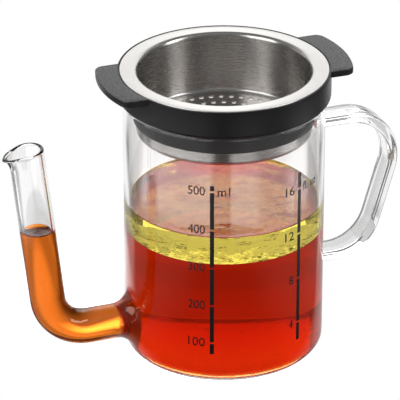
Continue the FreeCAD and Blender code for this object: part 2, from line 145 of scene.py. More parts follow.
class CollarSizes(bpy.types.PropertyGroup):
    """The black ring with its two ears, and the seal under it"""

    radius: length("Radius", "Outside of the ring", COLLAR_HIGH.y)
    recess: length("Recess radius", "Inside of the thin lip round the flange", 45.65 * MM)
    bore: length("Bore", "Inside of the ring, round the bowl", 38.65 * MM)
    seat: length("Seat", "Inside of the skirt over the glass", 43.95 * MM)
    skirt: length("Skirt", "Depth of the skirt over the seal", 1.2 * MM)
    recess_depth: length("Recess depth", "Depth of the flange's seat", 0.9 * MM)
    bottom_round: length("Bottom round", "Rounding of the ring's lower edge", 2.0 * MM)
    ear_reach: length("Ear reach", "Radius of the ears' outer edge", COLLAR_HIGH.x)
    ear_half_width: length("Ear half width", "Half the width of an ear", 20.0 * MM)
    ear_thickness: length("Ear thickness", "Thickness of an ear", 2.8 * MM)
    ear_corner: length("Ear corner", "Rounding of an ear's corners", 4.0 * MM)
    seal_outer: length("Seal outer", "Radius of the seal's land in the mouth", 41.45 * MM)
    seal_taper: length("Seal taper", "How far the seal's foot draws in", 2.2 * MM)
    seal_land: length("Seal land", "Height of the seal's straight land", 2.2 * MM)


class BowlSizes(bpy.types.PropertyGroup):
    """The pressed steel bowl"""

    radius: length("Radius", "Outside of the bowl's wall", 38.35 * MM)
    flange: length("Flange radius", "Outside of the flange", BOWL_HIGH.y)
    steel: length("Steel", "Thickness of the sheet", 0.7 * MM)
    corner: length("Corner", "Outer rounding of the bottom", 2.6 * MM)
    roll: length("Roll", "Rounding from the wall to the flange", 2.0 * MM)
    hole_radius: length("Hole radius", "Radius of a drain hole", 1.25 * MM)
    hole_spacing: length("Hole spacing", "From hole to hole along a ring", 4.45 * MM)
    ring_step: length("Ring step", "From one ring of holes to the next", 6.0 * MM)
    ring_edge: length("Ring edge", "From the wall to the outer ring", 5.7 * MM)
    ring_least: length("Least ring", "No ring of holes is smaller than this", 5.0 * MM)


class Finishes(bpy.types.PropertyGroup):
    """Colours of the finishes"""

    steel: colour("Steel", "Colour of the steel", (0.62, 0.605, 0.585, 1))
    plastic: colour("Plastic", "Colour of the collar", (0.01, 0.01, 0.011, 1))
    # The peaks' colour is a painted highlight, where light catches the grain on top of the ears
    fleck: colour("Fleck", "Colour of the grain's peaks on the ears", (0.095, 0.095, 0.095, 1))
    silicone: colour("Silicone", "Colour of the seal", (0.03, 0.03, 0.031, 1))
    enamel: colour("Enamel", "Colour of the print", (0.012, 0.012, 0.013, 1))


class Contents(bpy.types.PropertyGroup):
    """Gravy and fat shown in the jug; they are props and no part of it"""

    shown: BoolProperty(name="Show contents", description="Fill the jug", default=True)
    gravy_level: length("Gravy level", "Top of the gravy in the beaker", 59.0 * MM)
    fat_level: length("Fat level", "Top of the fat", 71.3 * MM)
    spout_level: length("Spout level", "Top of the gravy in the spout", 67.8 * MM)
    bite: length("Bite", "How far the liquids reach into the glass", 0.15 * MM)
    gravy: colour("Gravy", "Light that any layer of gravy lets through", (0.83, 0.28, 0.04, 1))
    gravy_deep: colour("Deep gravy", "Light that 5 cm of it lets through", (0.635, 0.12, 0.02, 1))
    fat: colour("Fat", "Light that any layer of fat lets through", (0.88, 0.79, 0.31, 1))
    fat_deep: colour("Deep fat", "Light that 5 cm of it lets through", (0.90, 0.85, 0.5, 1))
    gravy_meniscus: length("Gravy meniscus", "How far gravy climbs the spout's glass", 1.3 * MM)
    gravy_edge: length("Gravy edge", "How far gravy climbs the glass under the fat", 0.05 * MM)
    fat_meniscus: length("Fat meniscus", "How far fat climbs the glass", 0.6 * MM)
    fat_gap: length("Fat gap", "Room between the gravy's level and the fat", 0.06 * MM)


class StudioSettings(bpy.types.PropertyGroup):
    """Floor, light and camera"""

    floor_size: length("Floor size", "Side of the floor", 6.0)
    floor: colour("Floor", "Colour of the floor", (1, 1, 1, 1))
    strip: length("White strip", "Half the width of the white floor behind the jug", 0.12)
    white_floor: factor("White floor", "Brightness of the floor behind the jug", 0.93)
    side_floor: factor("Side floor", "Brightness of the floor beside the jug", 0.22)
    outer_floor: factor("Outer floor", "Brightness of the lit ring beyond it", 1.9)
    lit_plate: factor("Lit plate", "Brightness of the floor under the jug", 2.5)
    streak: factor("Streak", "Brightness of the floor behind the spout's arm", 6.0)
    front_floor: factor("Front floor", "Brightness of the floor in front", 0.05)
    sky: factor("Sky", "Strength of the light from all round", 0.22)
    back: factor("Back", "Brightness of the box behind", 1.5)
    left: factor("Left", "Brightness of the box on the left", 2.8)
    right: factor("Right", "Brightness of the box on the right", 4.2)
    low: factor("Low", "Brightness of the low box behind the spout", 0.45)
    lens: factor("Lens", "Focal length in millimetres", 307.6)
    distance: length("Distance", "From the camera to the jug", 1.5014)
    azimuth: angle("Azimuth", "Camera's place to the side of the front", -20.0)
    elevation: angle("Elevation", "Camera's height over the horizon", 26.34)
    aim_height: length("Aim height", "Height on the axis that the camera is set from", 0.070)
    aside: length("Aside", "How far the camera is moved sideways", -10.5 * MM)
    lowered: length("Lowered", "How far the camera is moved upwards", -1.07 * MM)


SETTINGS = {
    "separator_jug": JugSizes,
    "separator_scales": ScaleSizes,
    "separator_collar": CollarSizes,
    "separator_bowl": BowlSizes,
    "separator_finishes": Finishes,
    "separator_contents": Contents,
    "separator_studio": StudioSettings,
}


# ---------------------------------------------------------------- node trees


COLOUR_A, COLOUR_B, COLOUR_RESULT = 6, 7, 2


def socket(tree, name, kind="NodeSocketFloat", default=None, way="INPUT"):
    """Adds a named input or output to a node group."""
    made = tree.interface.new_socket(name=name, in_out=way, socket_type=kind)
    if default is not None:
        made.default_value = default


def node(tree, kind, inputs=None, **settings):
    """A node with its settings, its inputs given by name or number as values or sockets."""
    made = tree.nodes.new(kind)
    for key, value in settings.items():
        setattr(made, key, value)
    for key, value in (inputs or {}).items():
        if isinstance(value, bpy.types.NodeSocket):
            tree.links.new(value, made.inputs[key])
        else:
            made.inputs[key].default_value = value
    return made


def maths(tree, operation, *values):
    """What a Math node makes of numbers and sockets."""
    return node(tree, "ShaderNodeMath", dict(enumerate(values)), operation=operation).outputs[0]


def folded(tree, operation, first, *others):
    """One Math operation on many values, such as their product or the largest of them."""
    for other in others:
        first = maths(tree, operation, first, other)
    return first


def vectors(tree, operation, inputs, result="Vector"):
    """What a Vector Math node makes of its inputs."""
    return node(tree, "ShaderNodeVectorMath", inputs, operation=operation).outputs[result]


def joined(tree, **parts):
    """A vector of an X, Y and Z, any of which may be left out."""
    return node(tree, "ShaderNodeCombineXYZ", parts).outputs["Vector"]


def parted(tree, vector):
    """The X, Y and Z of a vector."""
    return node(tree, "ShaderNodeSeparateXYZ", {"Vector": vector}).outputs


def ranged(tree, value, given, wanted, kind="LINEAR"):
    """A range of a value made another range."""
    keys = ("From Min", "From Max", "To Min", "To Max")
    inputs = {"Value": value, **dict(zip(keys, (*given, *wanted)))}
    return node(tree, "ShaderNodeMapRange", inputs, interpolation_type=kind).outputs["Result"]


def smooth_range(tree, value, given, wanted):
    """A range of a value made another range, softly at both ends."""
    return ranged(tree, value, given, wanted, "SMOOTHSTEP")


def object_place(tree):
    """The place of a surface's point on its own piece."""
    return node(tree, "ShaderNodeTexCoord").outputs["Object"]


# ---------------------------------------------------------------- meshes


SAME_PLACE = 1e-7


class Net:
    """Points and faces that grow into one mesh."""

    def __init__(self):
        self.points = []
        self.faces = []

    def ring(self, points):
        """Adds points and returns their numbers."""
        first = len(self.points)
        self.points.extend(points)
        return list(range(first, len(self.points)))

    def band(self, near, far):
        """Quads from one closed ring to the next."""
        for here in range(len(near)):
            after = (here + 1) % len(near)
            self.faces.append((near[here], near[after], far[after], far[here]))

    def turn_inside_out(self, since):
        """Turns round every face from a number on."""
        self.faces[since:] = [tuple(reversed(face)) for face in self.faces[since:]]

    def piece(self, name, *materials):
        """The finished object."""
        mesh = bpy.data.meshes.new(name)
        mesh.from_pydata([tuple(point) for point in self.points], [], self.faces)
        return finished(name, mesh, *materials)


def finished(name, mesh, *materials, crease=40.0):
    """An object of a mesh, merged, smooth and creased where its faces meet sharply."""
    work = bmesh.new()
    work.from_mesh(mesh)
    bmesh.ops.remove_doubles(work, verts=work.verts, dist=SAME_PLACE)
    bmesh.ops.dissolve_degenerate(work, edges=work.edges, dist=SAME_PLACE / 10)
    for face in work.faces:
        face.smooth = True
    for edge in work.edges:
        edge.smooth = len(edge.link_faces) < 2 or edge.calc_face_angle(0) < math.radians(crease)
    work.to_mesh(mesh)
    work.free()
    piece = bpy.data.objects.new(name, mesh)
    mesh.materials.clear()
    for material in materials:
        mesh.materials.append(material)
    bpy.context.scene.collection.objects.link(piece)
    return piece


def arc(centre, radius, begin, end, steps):
    """Points of an arc in a profile, with both ends, in degrees."""
    points = []
    for step in range(steps + 1):
        turn = math.radians(begin + (end - begin) * step / steps)
        points.append((centre[0] + radius * math.cos(turn), centre[1] + radius * math.sin(turn)))
    return points


def round_at(radius, height, columns):
    """A level circle of points about the Z axis."""
    turns = [2 * math.pi * column / columns for column in range(columns)]
    return [Vector((radius * math.cos(turn), radius * math.sin(turn), height)) for turn in turns]


def turned(net, profile, columns, loop=False):
    """Turns a profile of (radius, height) about the Z axis. It runs out, up, in and down."""
    rings = [net.ring(round_at(radius, height, columns)) for radius, height in profile]
    for near, far in zip(rings, rings[1:]):
        net.band(near, far)
    if loop:
        net.band(rings[-1], rings[0])
    return rings


BOTTOM_ROWS = (0.0, 0.12, 0.4, 0.7)  # shares of the flat bottom's radius


class Side:
    """One side of the beaker's wall: a turned surface with gaps for what is fused to it."""

    def __init__(self, net, radius, corner, base, columns):
        self.net = net
        self.radius = radius
        self.corner = corner
        self.base = base
        self.columns = columns
        self.rows = []
        self.runs = []

    def bend(self):
        """The run round the bottom corner."""
        return self.corner * math.pi / 2

    def run_at(self, height):
        """The run up the straight wall to a height."""
        return self.bend() + height - self.base - self.corner

    def profile(self, run):
        """Radius and height at a run measured from where the bottom corner starts."""
        if run >= self.bend():
            return self.radius, self.base + self.corner + run - self.bend()
        tilt = math.pi / 2 - run / self.corner
        radius = self.radius - self.corner + self.corner * math.cos(tilt)
        return radius, self.base + self.corner - self.corner * math.sin(tilt)

    def point(self, turn, run):
        """The point of the wall at a turn and a run."""
        radius, height = self.profile(run)
        return Vector((radius * math.cos(turn), radius * math.sin(turn), height))

    def turn(self, column):
        """The turn of a column about the axis."""
        return 2 * math.pi * column / self.columns

    def bottom(self):
        """The flat disc inside the corner, from its middle outwards."""
        reach = self.radius - self.corner
        for share in BOTTOM_ROWS:
            points = round_at(reach * share, self.base, self.columns)
            self.rows.append(self.net.ring(points))
        self.flat_rows = len(self.rows)

    def wall(self, runs):
        """A row of points at each run."""
        for run in runs:
            points = [self.point(self.turn(column), run) for column in range(self.columns)]
            self.rows.append(self.net.ring(points))
        self.runs = list(runs)

    def skin(self, gaps):
        """Quads over every cell that is in no gap (first row, last row, middle column, half)."""
        for row, (near, far) in enumerate(zip(self.rows, self.rows[1:])):
            for column in range(self.columns):
                if any(in_gap(gap, row - self.flat_rows, column, self.columns) for gap in gaps):
                    continue
                after = (column + 1) % self.columns
                self.net.faces.append((near[column], near[after], far[after], far[column]))

    def edge_of(self, gap):
        """The cells' corners round a gap, anticlockwise from outside, with their places."""
        first, last, middle, half = gap
        left, right = middle - half, middle + half
        round_trip = [(first, column) for column in range(left, right)]
        round_trip += [(row, right) for row in range(first, last)]
        round_trip += [(last, column) for column in range(right, left, -1)]
        round_trip += [(row, left) for row in range(last, first, -1)]
        rows = self.rows[self.flat_rows :]
        ring = [rows[row][column % self.columns] for row, column in round_trip]
        places = [(self.turn(column), self.runs[row]) for row, column in round_trip]
        return ring, places

    def contact(self, across, height, out_across, out_rise, rounding):
        """How a ball touches the wall and a point of a tube or strap that leaves it along +X.

        The touch's turn and run on the wall, the ball's middle, and both places it touches.
        """
        ball = (across + rounding * out_across, height + rounding * out_rise)
        below = self.base + self.corner - ball[1]
        reach = self.radius + rounding
        if below > 0:
            reach = math.sqrt((self.corner + rounding) ** 2 - below**2)
            reach += self.radius - self.corner
        ahead = math.sqrt(reach**2 - ball[0] ** 2)
        centre = Vector((ahead, ball[0], ball[1]))
        level = Vector((ahead, ball[0], 0)).normalized()
        if below > 0:
            hub = level * (self.radius - self.corner) + UP * (self.base + self.corner)
            touch = hub + (centre - hub) * (self.corner / (self.corner + rounding))
            beyond = touch.xy.length - self.radius + self.corner
            run = self.bend() - self.corner * math.atan2(hub.z - touch.z, beyond)
        else:
            touch = level * self.radius + UP * ball[1]
            run = self.run_at(ball[1])
        return math.atan2(ball[0], ahead), run, centre, touch, Vector((ahead, across, height))

    def root(self, gap, section, height, rounding, patch_steps=4, round_steps=7):
        """Fuses a tube or strap to the wall by a rolled root, and returns its first ring."""
        ring, places = self.edge_of(gap)
        facing = self.turn(gap[2])
        swing = Matrix.Rotation(facing, 3, "Z")
        contacts = [
            self.contact(across, height + rise, out_across, out_rise, rounding)
            for across, rise, out_across, out_rise in section
        ]
        for step in range(1, patch_steps):
            share = step / patch_steps
            points = []
            for (turn, run), (aside, foot, *_) in zip(places, contacts):
                turn += (facing + aside - turn) * share
                points.append(self.point(turn, run + (foot - run) * share))
            new = self.net.ring(points)
            self.net.band(ring, new)
            ring = new
        for step in range(round_steps + 1):
            share = step / round_steps
            points = []
            for *_, centre, touch, start in contacts:
                away = (touch - centre).slerp(start - centre, share)
                points.append(swing @ (centre + away * rounding))
            new = self.net.ring(points)
            self.net.band(ring, new)
            ring = new
        return ring


def in_gap(gap, row, column, columns):
    """Whether a cell of the wall is in a gap."""
    first, last, middle, half = gap
    aside = (column - middle + columns // 2) % columns - columns // 2
    return first <= row < last and -half <= aside < half


def tube_section(radius, side):
    """Points and outward directions round a tube, from its lower left, side points a quarter."""
    section = []
    for number in range(4 * side):
        turn = math.radians(225 + 90 * number / side)
        across, rise = math.cos(turn), math.sin(turn)
        section.append((radius * across, radius * rise, across, rise))
    return section


def strap_section(width, thickness, edge, across_steps, up_steps, bend_steps=4):
    """Points and outward directions round a strap with rounded corners, from its lower left."""
    flat = (width / 2 - edge, thickness / 2 - edge)
    section = []

    def corner(sign_across, sign_rise, begin, steps):
        for step in steps:
            turn = math.radians(begin + 45 * step / bend_steps)
            out = (math.cos(turn), math.sin(turn))
            across = sign_across * flat[0] + edge * out[0]
            section.append((across, sign_rise * flat[1] + edge * out[1], *out))

    sides = ((-1, -1, 1, -1, 225), (1, -1, 1, 1, 315), (1, 1, -1, 1, 45), (-1, 1, -1, -1, 135))
    for number, (a_sign, r_sign, a_next, r_next, begin) in enumerate(sides):
        steps = (across_steps, up_steps)[number % 2] - 2 * bend_steps
        corner(a_sign, r_sign, begin, range(bend_steps))
        out = (math.cos(math.radians(begin + 45)), math.sin(math.radians(begin + 45)))
        for step in range(steps):
            share = step / steps
            across = flat[0] * (a_sign + (a_next - a_sign) * share) + edge * out[0]
            rise = flat[1] * (r_sign + (r_next - r_sign) * share) + edge * out[1]
            section.append((across, rise, *out))
        corner(a_next, r_next, begin + 45, range(bend_steps))
    return section


def swept(net, ring, section, stations):
    """Carries a section along stations of (place, across axis, rise axis)."""
    for place, across_axis, rise_axis in stations:
        points = [
            place + across_axis * across + rise_axis * rise for across, rise, *_ in section
        ]
        new = net.ring(points)
        net.band(ring, new)
        ring = new
    return ring


# ---------------------------------------------------------------- glass


BEAKER_COLUMNS = 160
TUBE_SIDE = 20  # points along a quarter of a tube
SPOUT_COLUMN = BEAKER_COLUMNS // 2
SPOUT_ACROSS = Vector((0, -1, 0))
STRAP_ACROSS = 20
STRAP_UP = 12
PAST_ROOT = 0.6 * MM  # from a root's end to the first station of its tube or strap
FINE_ROWS_TOP = 37 * MM  # the wall has a row for each point of the spout's root up to here
OUTSIDE_START = 3.0 * MM
INSIDE_START = 2.0 * MM
ROW_STEP = 1.6 * MM
TALLEST_ROW = 2.4 * MM
WAIST_SPREAD = 2.5


def spout_lines(jug):
    """Where the spout's axis turns: bend's start, middle and end, its lip, and its direction."""
    lean = jug.spout_lean
    upwards = Vector((-math.sin(lean), 0, math.cos(lean)))
    crossing = Vector((-(jug.radius + jug.spout_offset), 0, jug.spout_height))
    tangent = jug.spout_bend * math.tan((math.pi / 2 - lean) / 2)
    rise = jug.height - jug.spout_drop - jug.spout_height
    top = crossing + upwards * (rise / math.cos(lean))
    bend_start = crossing + Vector((tangent, 0, 0))
    return {
        "bend_start": bend_start,
        "bend_centre": bend_start + UP * jug.spout_bend,
        "bend_end": crossing + upwards * tangent,
        "lip": top - upwards * jug.lip_length,
        "upwards": upwards,
    }


def spout_start(jug):
    """Where the spout's tube starts beyond its root."""
    return -(jug.radius + jug.spout_root + PAST_ROOT)


def spout_stations(jug, arm_steps=6, bend_steps=18):
    """The spout's arm and bend, up to the foot of its leg."""
    lines = spout_lines(jug)
    first_x = spout_start(jug)
    stations = []
    for step in range(arm_steps + 1):
        x = first_x + (lines["bend_start"].x - first_x) * step / arm_steps
        stations.append((Vector((x, 0, jug.spout_height)), SPOUT_ACROSS, UP))
    sweep = math.pi / 2 - jug.spout_lean
    for step in range(1, bend_steps + 1):
        turn = sweep * step / bend_steps
        away = Vector((-math.sin(turn), 0, -math.cos(turn)))
        place = lines["bend_centre"] + away * jug.spout_bend
        stations.append((place, SPOUT_ACROSS, -away))
    return stations


def lip_points(jug, radius, part_way, lowered=0.0):
    """A ring of the lip part of the way up it, drawn out and tilted down towards its beak."""
    lines = spout_lines(jug)
    rise_axis = Vector((math.cos(jug.spout_lean), 0, math.sin(jug.spout_lean)))
    growth = part_way**2
    slope = math.tan(jug.lip_tilt) * growth
    points = []
    for _, _, out_across, out_rise in tube_section(radius, TUBE_SIDE):
        facing = (1 - out_rise) / 2
        beak = growth * facing**jug.lip_pinch
        waist = growth * facing**WAIST_SPREAD * (1 - facing ** (jug.lip_pinch - WAIST_SPREAD))
        reach = radius + jug.lip_beak * beak - jug.lip_waist * waist
        tipped = (jug.spout_radius - reach * out_rise) * slope + jug.lip_drop * beak
        height = jug.lip_length * part_way - tipped - lowered
        place = lines["lip"] + lines["upwards"] * height
        points.append(place + (SPOUT_ACROSS * out_across + rise_axis * out_rise) * reach)
    return points


def spout_skin(net, ring, jug, radius, leg_steps=16, lip_steps=9):
    """One skin of the spout from its root to just under its rim."""
    section = tube_section(radius, TUBE_SIDE)
    stations = spout_stations(jug)
    ring = swept(net, ring, section, stations)
    lines = spout_lines(jug)
    rise_axis = stations[-1][2]
    leg = []
    for step in range(1, leg_steps + 1):
        place = lines["bend_end"].lerp(lines["lip"], step / leg_steps)
        leg.append((place, SPOUT_ACROSS, rise_axis))
    ring = swept(net, ring, section, leg)
    for step in range(1, lip_steps + 1):
        lowered = jug.spout_wall / 2 if step == lip_steps else 0.0
        new = net.ring(lip_points(jug, radius, step / lip_steps, lowered))
        net.band(ring, new)
        ring = new
    return ring


def spout_rim(net, outer, inner, jug, steps=8):
    """The fire-polished edge between the spout's two skins."""
    upwards = spout_lines(jug)["upwards"]
    ring = outer
    for step in range(1, steps):
        turn = math.pi * step / steps
        points = []
        for out, inn in zip(outer, inner):
            half = (net.points[out] - net.points[inn]) / 2
            middle = net.points[inn] + half
            lift = upwards * (half.length * math.sin(turn))
            points.append(middle + half * math.cos(turn) + lift)
        new = net.ring(points)
        net.band(ring, new)
        ring = new
    net.band(ring, inner)


def strap_stations(jug, arm_steps=6, bend_steps=28, grip_steps=8):
    """The handle's line from near the beaker, out, down the grip and back in."""
    across = Vector((0, 1, 0))
    sine, cosine = math.sin(jug.handle_lean), math.cos(jug.handle_lean)
    top = jug.height - jug.handle_drop
    big, small = jug.handle_bend_top, jug.handle_bend_low
    high = Vector((jug.radius + jug.handle_offset - big, 0, top - big))
    run = (high.z - (big - small) * sine - jug.handle_low - small) / cosine
    low = Vector((high.x + (big - small) * cosine - run * sine, 0, jug.handle_low + small))
    first_x = jug.radius + jug.handle_root + PAST_ROOT
    stations = []
    for step in range(arm_steps):
        x = first_x + (high.x - first_x) * step / arm_steps
        stations.append((Vector((x, 0, top)), across, UP))
    for step in range(bend_steps + 1):
        turn = math.pi / 2 - (math.pi / 2 + jug.handle_lean) * step / bend_steps
        out = Vector((math.cos(turn), 0, math.sin(turn)))
        stations.append((high + out * big, across, out))
    out = Vector((cosine, 0, -sine))
    for step in range(1, grip_steps):
        down = Vector((-sine, 0, -cosine)) * (run * step / grip_steps)
        stations.append((high + out * big + down, across, out))
    for step in range(bend_steps + 1):
        turn = -jug.handle_lean - (math.pi / 2 - jug.handle_lean) * step / bend_steps
        out = Vector((math.cos(turn), 0, math.sin(turn)))
        stations.append((low + out * small, across, out))
    for step in range(1, arm_steps + 1):
        x = low.x + (first_x - low.x) * step / arm_steps
        stations.append((Vector((x, 0, jug.handle_low)), across, -UP))
    return stations


def beaker_side(net, radius, corner, base, top):
    """A side of the beaker's wall with its rows set out, and the gap for the spout."""
    side = Side(net, radius, corner, base, BEAKER_COLUMNS)
    side.bottom()
    first = INSIDE_START if base else OUTSIDE_START
    last = side.run_at(FINE_ROWS_TOP)
    runs = [0.0, first / 2]
    runs += [first + (last - first) * step / TUBE_SIDE for step in range(TUBE_SIDE + 1)]
    height = FINE_ROWS_TOP
    while height + TALLEST_ROW < top:
        height += ROW_STEP
        runs.append(side.run_at(height))
    runs.append(side.run_at(top))
    side.wall(runs)
    gap = (2, 2 + TUBE_SIDE, SPOUT_COLUMN, TUBE_SIDE // 2)
    return side, gap


def row_near(side, height):
    """The wall's row nearest to a height."""
    run = side.run_at(height)
    return min(range(len(side.runs)), key=lambda row: abs(side.runs[row] - run))


def glass_jug(jug):
    """Beaker, spout and handle as one closed piece of glass."""
    net = Net()
    lip = jug.wall / 2
    outer, spout_gap = beaker_side(net, jug.radius, jug.corner, 0.0, jug.height - lip)
    half_up = STRAP_UP // 2
    top_z = jug.height - jug.handle_drop
    strap_gaps = []
    for height in (top_z, jug.handle_low):
        middle = row_near(outer, height)
        strap_gaps.append((middle - half_up, middle + half_up, 0, STRAP_ACROSS // 2))
    outer.skin([spout_gap, *strap_gaps])
    tube = tube_section(jug.spout_radius, TUBE_SIDE)
    ring = outer.root(spout_gap, tube, jug.spout_height, jug.spout_root)
    outer_lip = spout_skin(net, ring, jug, jug.spout_radius)
    strap = strap_section(
        jug.handle_width, jug.handle_thickness, jug.handle_edge, STRAP_ACROSS, STRAP_UP
    )
    ring = outer.root(strap_gaps[0], strap, top_z, jug.handle_root, patch_steps=3)
    ring = swept(net, ring, strap, strap_stations(jug))
    low_ring = outer.root(strap_gaps[1], strap, jug.handle_low, jug.handle_root, patch_steps=3)
    count = len(strap)
    top_left = 2 * STRAP_ACROSS + STRAP_UP
    net.band(low_ring, [ring[(top_left - number) % count] for number in range(count)])

    since = len(net.faces)
    bore = jug.radius - jug.wall
    inner, bore_gap = beaker_side(net, bore, jug.inner_corner, jug.floor, jug.height - lip)
    inner.skin([bore_gap])
    radius = jug.spout_radius - jug.spout_wall
    tube = tube_section(radius, TUBE_SIDE)
    ring = inner.root(bore_gap, tube, jug.spout_height, jug.bore_root)
    inner_lip = spout_skin(net, ring, jug, radius)
    net.turn_inside_out(since)

    spout_rim(net, outer_lip, inner_lip, jug)
    ring = outer.rows[-1]
    for radius, height in arc((jug.radius - lip, jug.height - lip), lip, 0, 180, 10)[1:-1]:
        new = net.ring(round_at(radius, height, BEAKER_COLUMNS))
        net.band(ring, new)
        ring = new
    net.band(ring, inner.rows[-1])
    return net.piece("glass_jug", clear_glass())


# ---------------------------------------------------------------- print


PRINT_RADIUS = BEAKER_HIGH.x
MARKS_ML = (100, 200, 300, 400, 500)
MARKS_OZ = (4, 8, 12, 16)
ML_PER_OZ = 29.5735
ML = 1e-6
HALF_DEPTH = 0.5  # letters are made one unit deep, and wrap gives them their thickness
DIGIT_SPACE = 0.12  # share of a digit's pitch that stays clear
UNIT_SPREAD = 1.18


def written(words, height, width, weight, spread=1.0):
    """A mesh of some letters of a height and width, its lower left corner at the origin."""
    text = bpy.data.curves.new(words, "FONT")
    text.body = words
    text.offset = weight
    text.space_character = spread
    text.extrude = HALF_DEPTH
    text.resolution_u = 6
    holder = bpy.data.objects.new(words, text)
    bpy.context.scene.collection.objects.link(holder)
    bpy.context.view_layer.update()
    graph = bpy.context.evaluated_depsgraph_get()
    mesh = bpy.data.meshes.new_from_object(holder.evaluated_get(graph))
    bpy.data.objects.remove(holder)
    bpy.data.curves.remove(text)
    xs = [vertex.co.x for vertex in mesh.vertices]
    ys = [vertex.co.y for vertex in mesh.vertices]
    low_x, low_y = min(xs), min(ys)
    stretch = (width / (max(xs) - low_x), height / (max(ys) - low_y))
    for vertex in mesh.vertices:
        vertex.co.x = (vertex.co.x - low_x) * stretch[0]
        vertex.co.y = (vertex.co.y - low_y) * stretch[1]
    return mesh


def wrap(work, mesh, turn, start, height, thickness):
    """Adds letters to a piece, laid round the beaker from a start along the glass."""
    for vertex in mesh.vertices:
        here = turn + (start + vertex.co.x) / PRINT_RADIUS
        radius = PRINT_RADIUS + thickness * (vertex.co.z + HALF_DEPTH)
        level = height + vertex.co.y
        vertex.co = Vector((radius * math.cos(here), radius * math.sin(here), level))
    work.from_mesh(mesh)
    bpy.data.meshes.remove(mesh)


def scale_numbers(name, marks, unit, turn, sizes, jug):
    """The numbers on the left of a bar and the unit on its right, as one piece."""
    work = bmesh.new()
    bore = jug.radius - jug.wall
    for words, amount in marks:
        level = jug.floor + amount * ML / (math.pi * bore**2)
        width = sizes.digit_pitch * (len(words) - DIGIT_SPACE)
        mesh = written(words, sizes.digit_height, width, sizes.weight)
        low = level + sizes.number_rise - sizes.digit_height / 2
        wrap(work, mesh, turn, -sizes.number_gap - width, low, sizes.thickness)
    words, width = unit
    mesh = written(words, sizes.digit_height, width, sizes.weight, UNIT_SPREAD)
    wrap(work, mesh, turn, sizes.unit_gap, low, sizes.thickness)
    mesh = bpy.data.meshes.new(name)
    work.to_mesh(mesh)
    work.free()
    return finished(name, mesh, fired_enamel())


# ---------------------------------------------------------------- collar and seal


TURNED_COLUMNS = 144
RING_SOFT = 0.25 * MM  # rounding of the ring's thin lip
EAR_SOFT = 0.5 * MM  # rounding of the ears' edges
BORE_EASE = 1.0 * MM  # rounding from the flange's seat into the bore
EAR_SIDE = (0.0, 0.06, 0.25, 0.6, 1.0)  # shares of an ear's straight side
PLAIN_STEPS = 44  # columns of the ring from ear to ear
SEAL_SOFT = 0.3 * MM  # rounding of the seal's edges
SEAL_NECK = 0.2 * MM  # from the top of the seal's land to its flange
TAPER_FACING = -17  # degrees, where the foot's rounding meets the taper
# Millimetres out and up from the land's foot, and from where the land meets the flange
LAND_FOOT = ((-0.12, -0.5), (0.0, 0.0))
LAND_TOP = ((0.0, -0.3), (0.1, -0.05), (0.4, 0.0))


def ear_outline(sizes):
    """Half of an ear's edge as (turn, reach), from the ring to the ear's middle."""
    half, corner = sizes.ear_half_width, sizes.ear_corner
    start = math.sqrt(sizes.radius**2 - half**2)
    middle_y = half - corner
    middle_x = math.sqrt((sizes.ear_reach - corner) ** 2 - middle_y**2)
    points = [(start + (middle_x - start) * share, half) for share in EAR_SIDE]
    slope = math.degrees(math.atan2(middle_y, middle_x))
    points += arc((middle_x, middle_y), corner, 90, slope, 7)[1:]
    points += arc((0, 0), sizes.ear_reach, slope, 0, 9)[1:]
    return [(math.atan2(y, x), math.hypot(x, y)) for x, y in points]


def collar_columns(sizes):
    """Every column of the collar as (turn, reach of its ear or of the ring)."""
    half = ear_outline(sizes)
    ear = [(-turn, reach) for turn, reach in half[:-1]] + list(reversed(half))
    edge = half[0][0]
    gap = math.pi - 2 * edge
    plain = [(edge + gap * step / PLAIN_STEPS, sizes.radius) for step in range(1, PLAIN_STEPS)]
    side = ear + plain
    return side + [(turn + math.pi, reach) for turn, reach in side]


def collar_ring(sizes):
    """The ring with its two ears, the flange's recess and the skirt over the glass."""
    low, top = COLLAR_LOW.z, COLLAR_HIGH.z
    under = top - sizes.ear_thickness
    recess_floor = top - sizes.recess_depth
    soft, ear_soft, ease = RING_SOFT, EAR_SOFT, BORE_EASE
    net = Net()
    columns = collar_columns(sizes)
    rings = []

    def fixed(radius, height):
        """A round ring of points."""
        points = [(radius * math.cos(turn), radius * math.sin(turn)) for turn, _ in columns]
        rings.append(net.ring([Vector((x, y, height)) for x, y in points]))

    def eared(away, least, height):
        """A ring that follows the ears' edge, drawn in by some and never inside a radius."""
        points = []
        for turn, far in columns:
            reach = max(far + away, least)
            points.append(Vector((reach * math.cos(turn), reach * math.sin(turn), height)))
        rings.append(net.ring(points))

    fixed(sizes.seat, low)
    centre = (sizes.radius - sizes.bottom_round, low + sizes.bottom_round)
    for radius, height in arc(centre, sizes.bottom_round, -90, 0, 6):
        fixed(radius, height)
    fixed(sizes.radius, under)
    for away, height in arc((-ear_soft, under + ear_soft), ear_soft, -90, 0, 4):
        eared(away, sizes.radius, height)
    for away, height in arc((-ear_soft, top - ear_soft), ear_soft, 0, 90, 4):
        eared(away, sizes.radius - soft, height)
    fixed(sizes.radius - soft, top)
    for radius, height in arc((sizes.recess + soft, top - soft), soft, 90, 180, 3):
        fixed(radius, height)
    fixed(sizes.recess, recess_floor)
    for radius, height in arc((sizes.bore + ease, recess_floor - ease), ease, 90, 180, 4):
        fixed(radius, height)
    fixed(sizes.bore, low + sizes.skirt)
    fixed(sizes.seat, low + sizes.skirt)
    for near, far in zip(rings, rings[1:] + rings[:1]):
        net.band(near, far)
    return net.piece("collar_ring", satin_plastic())


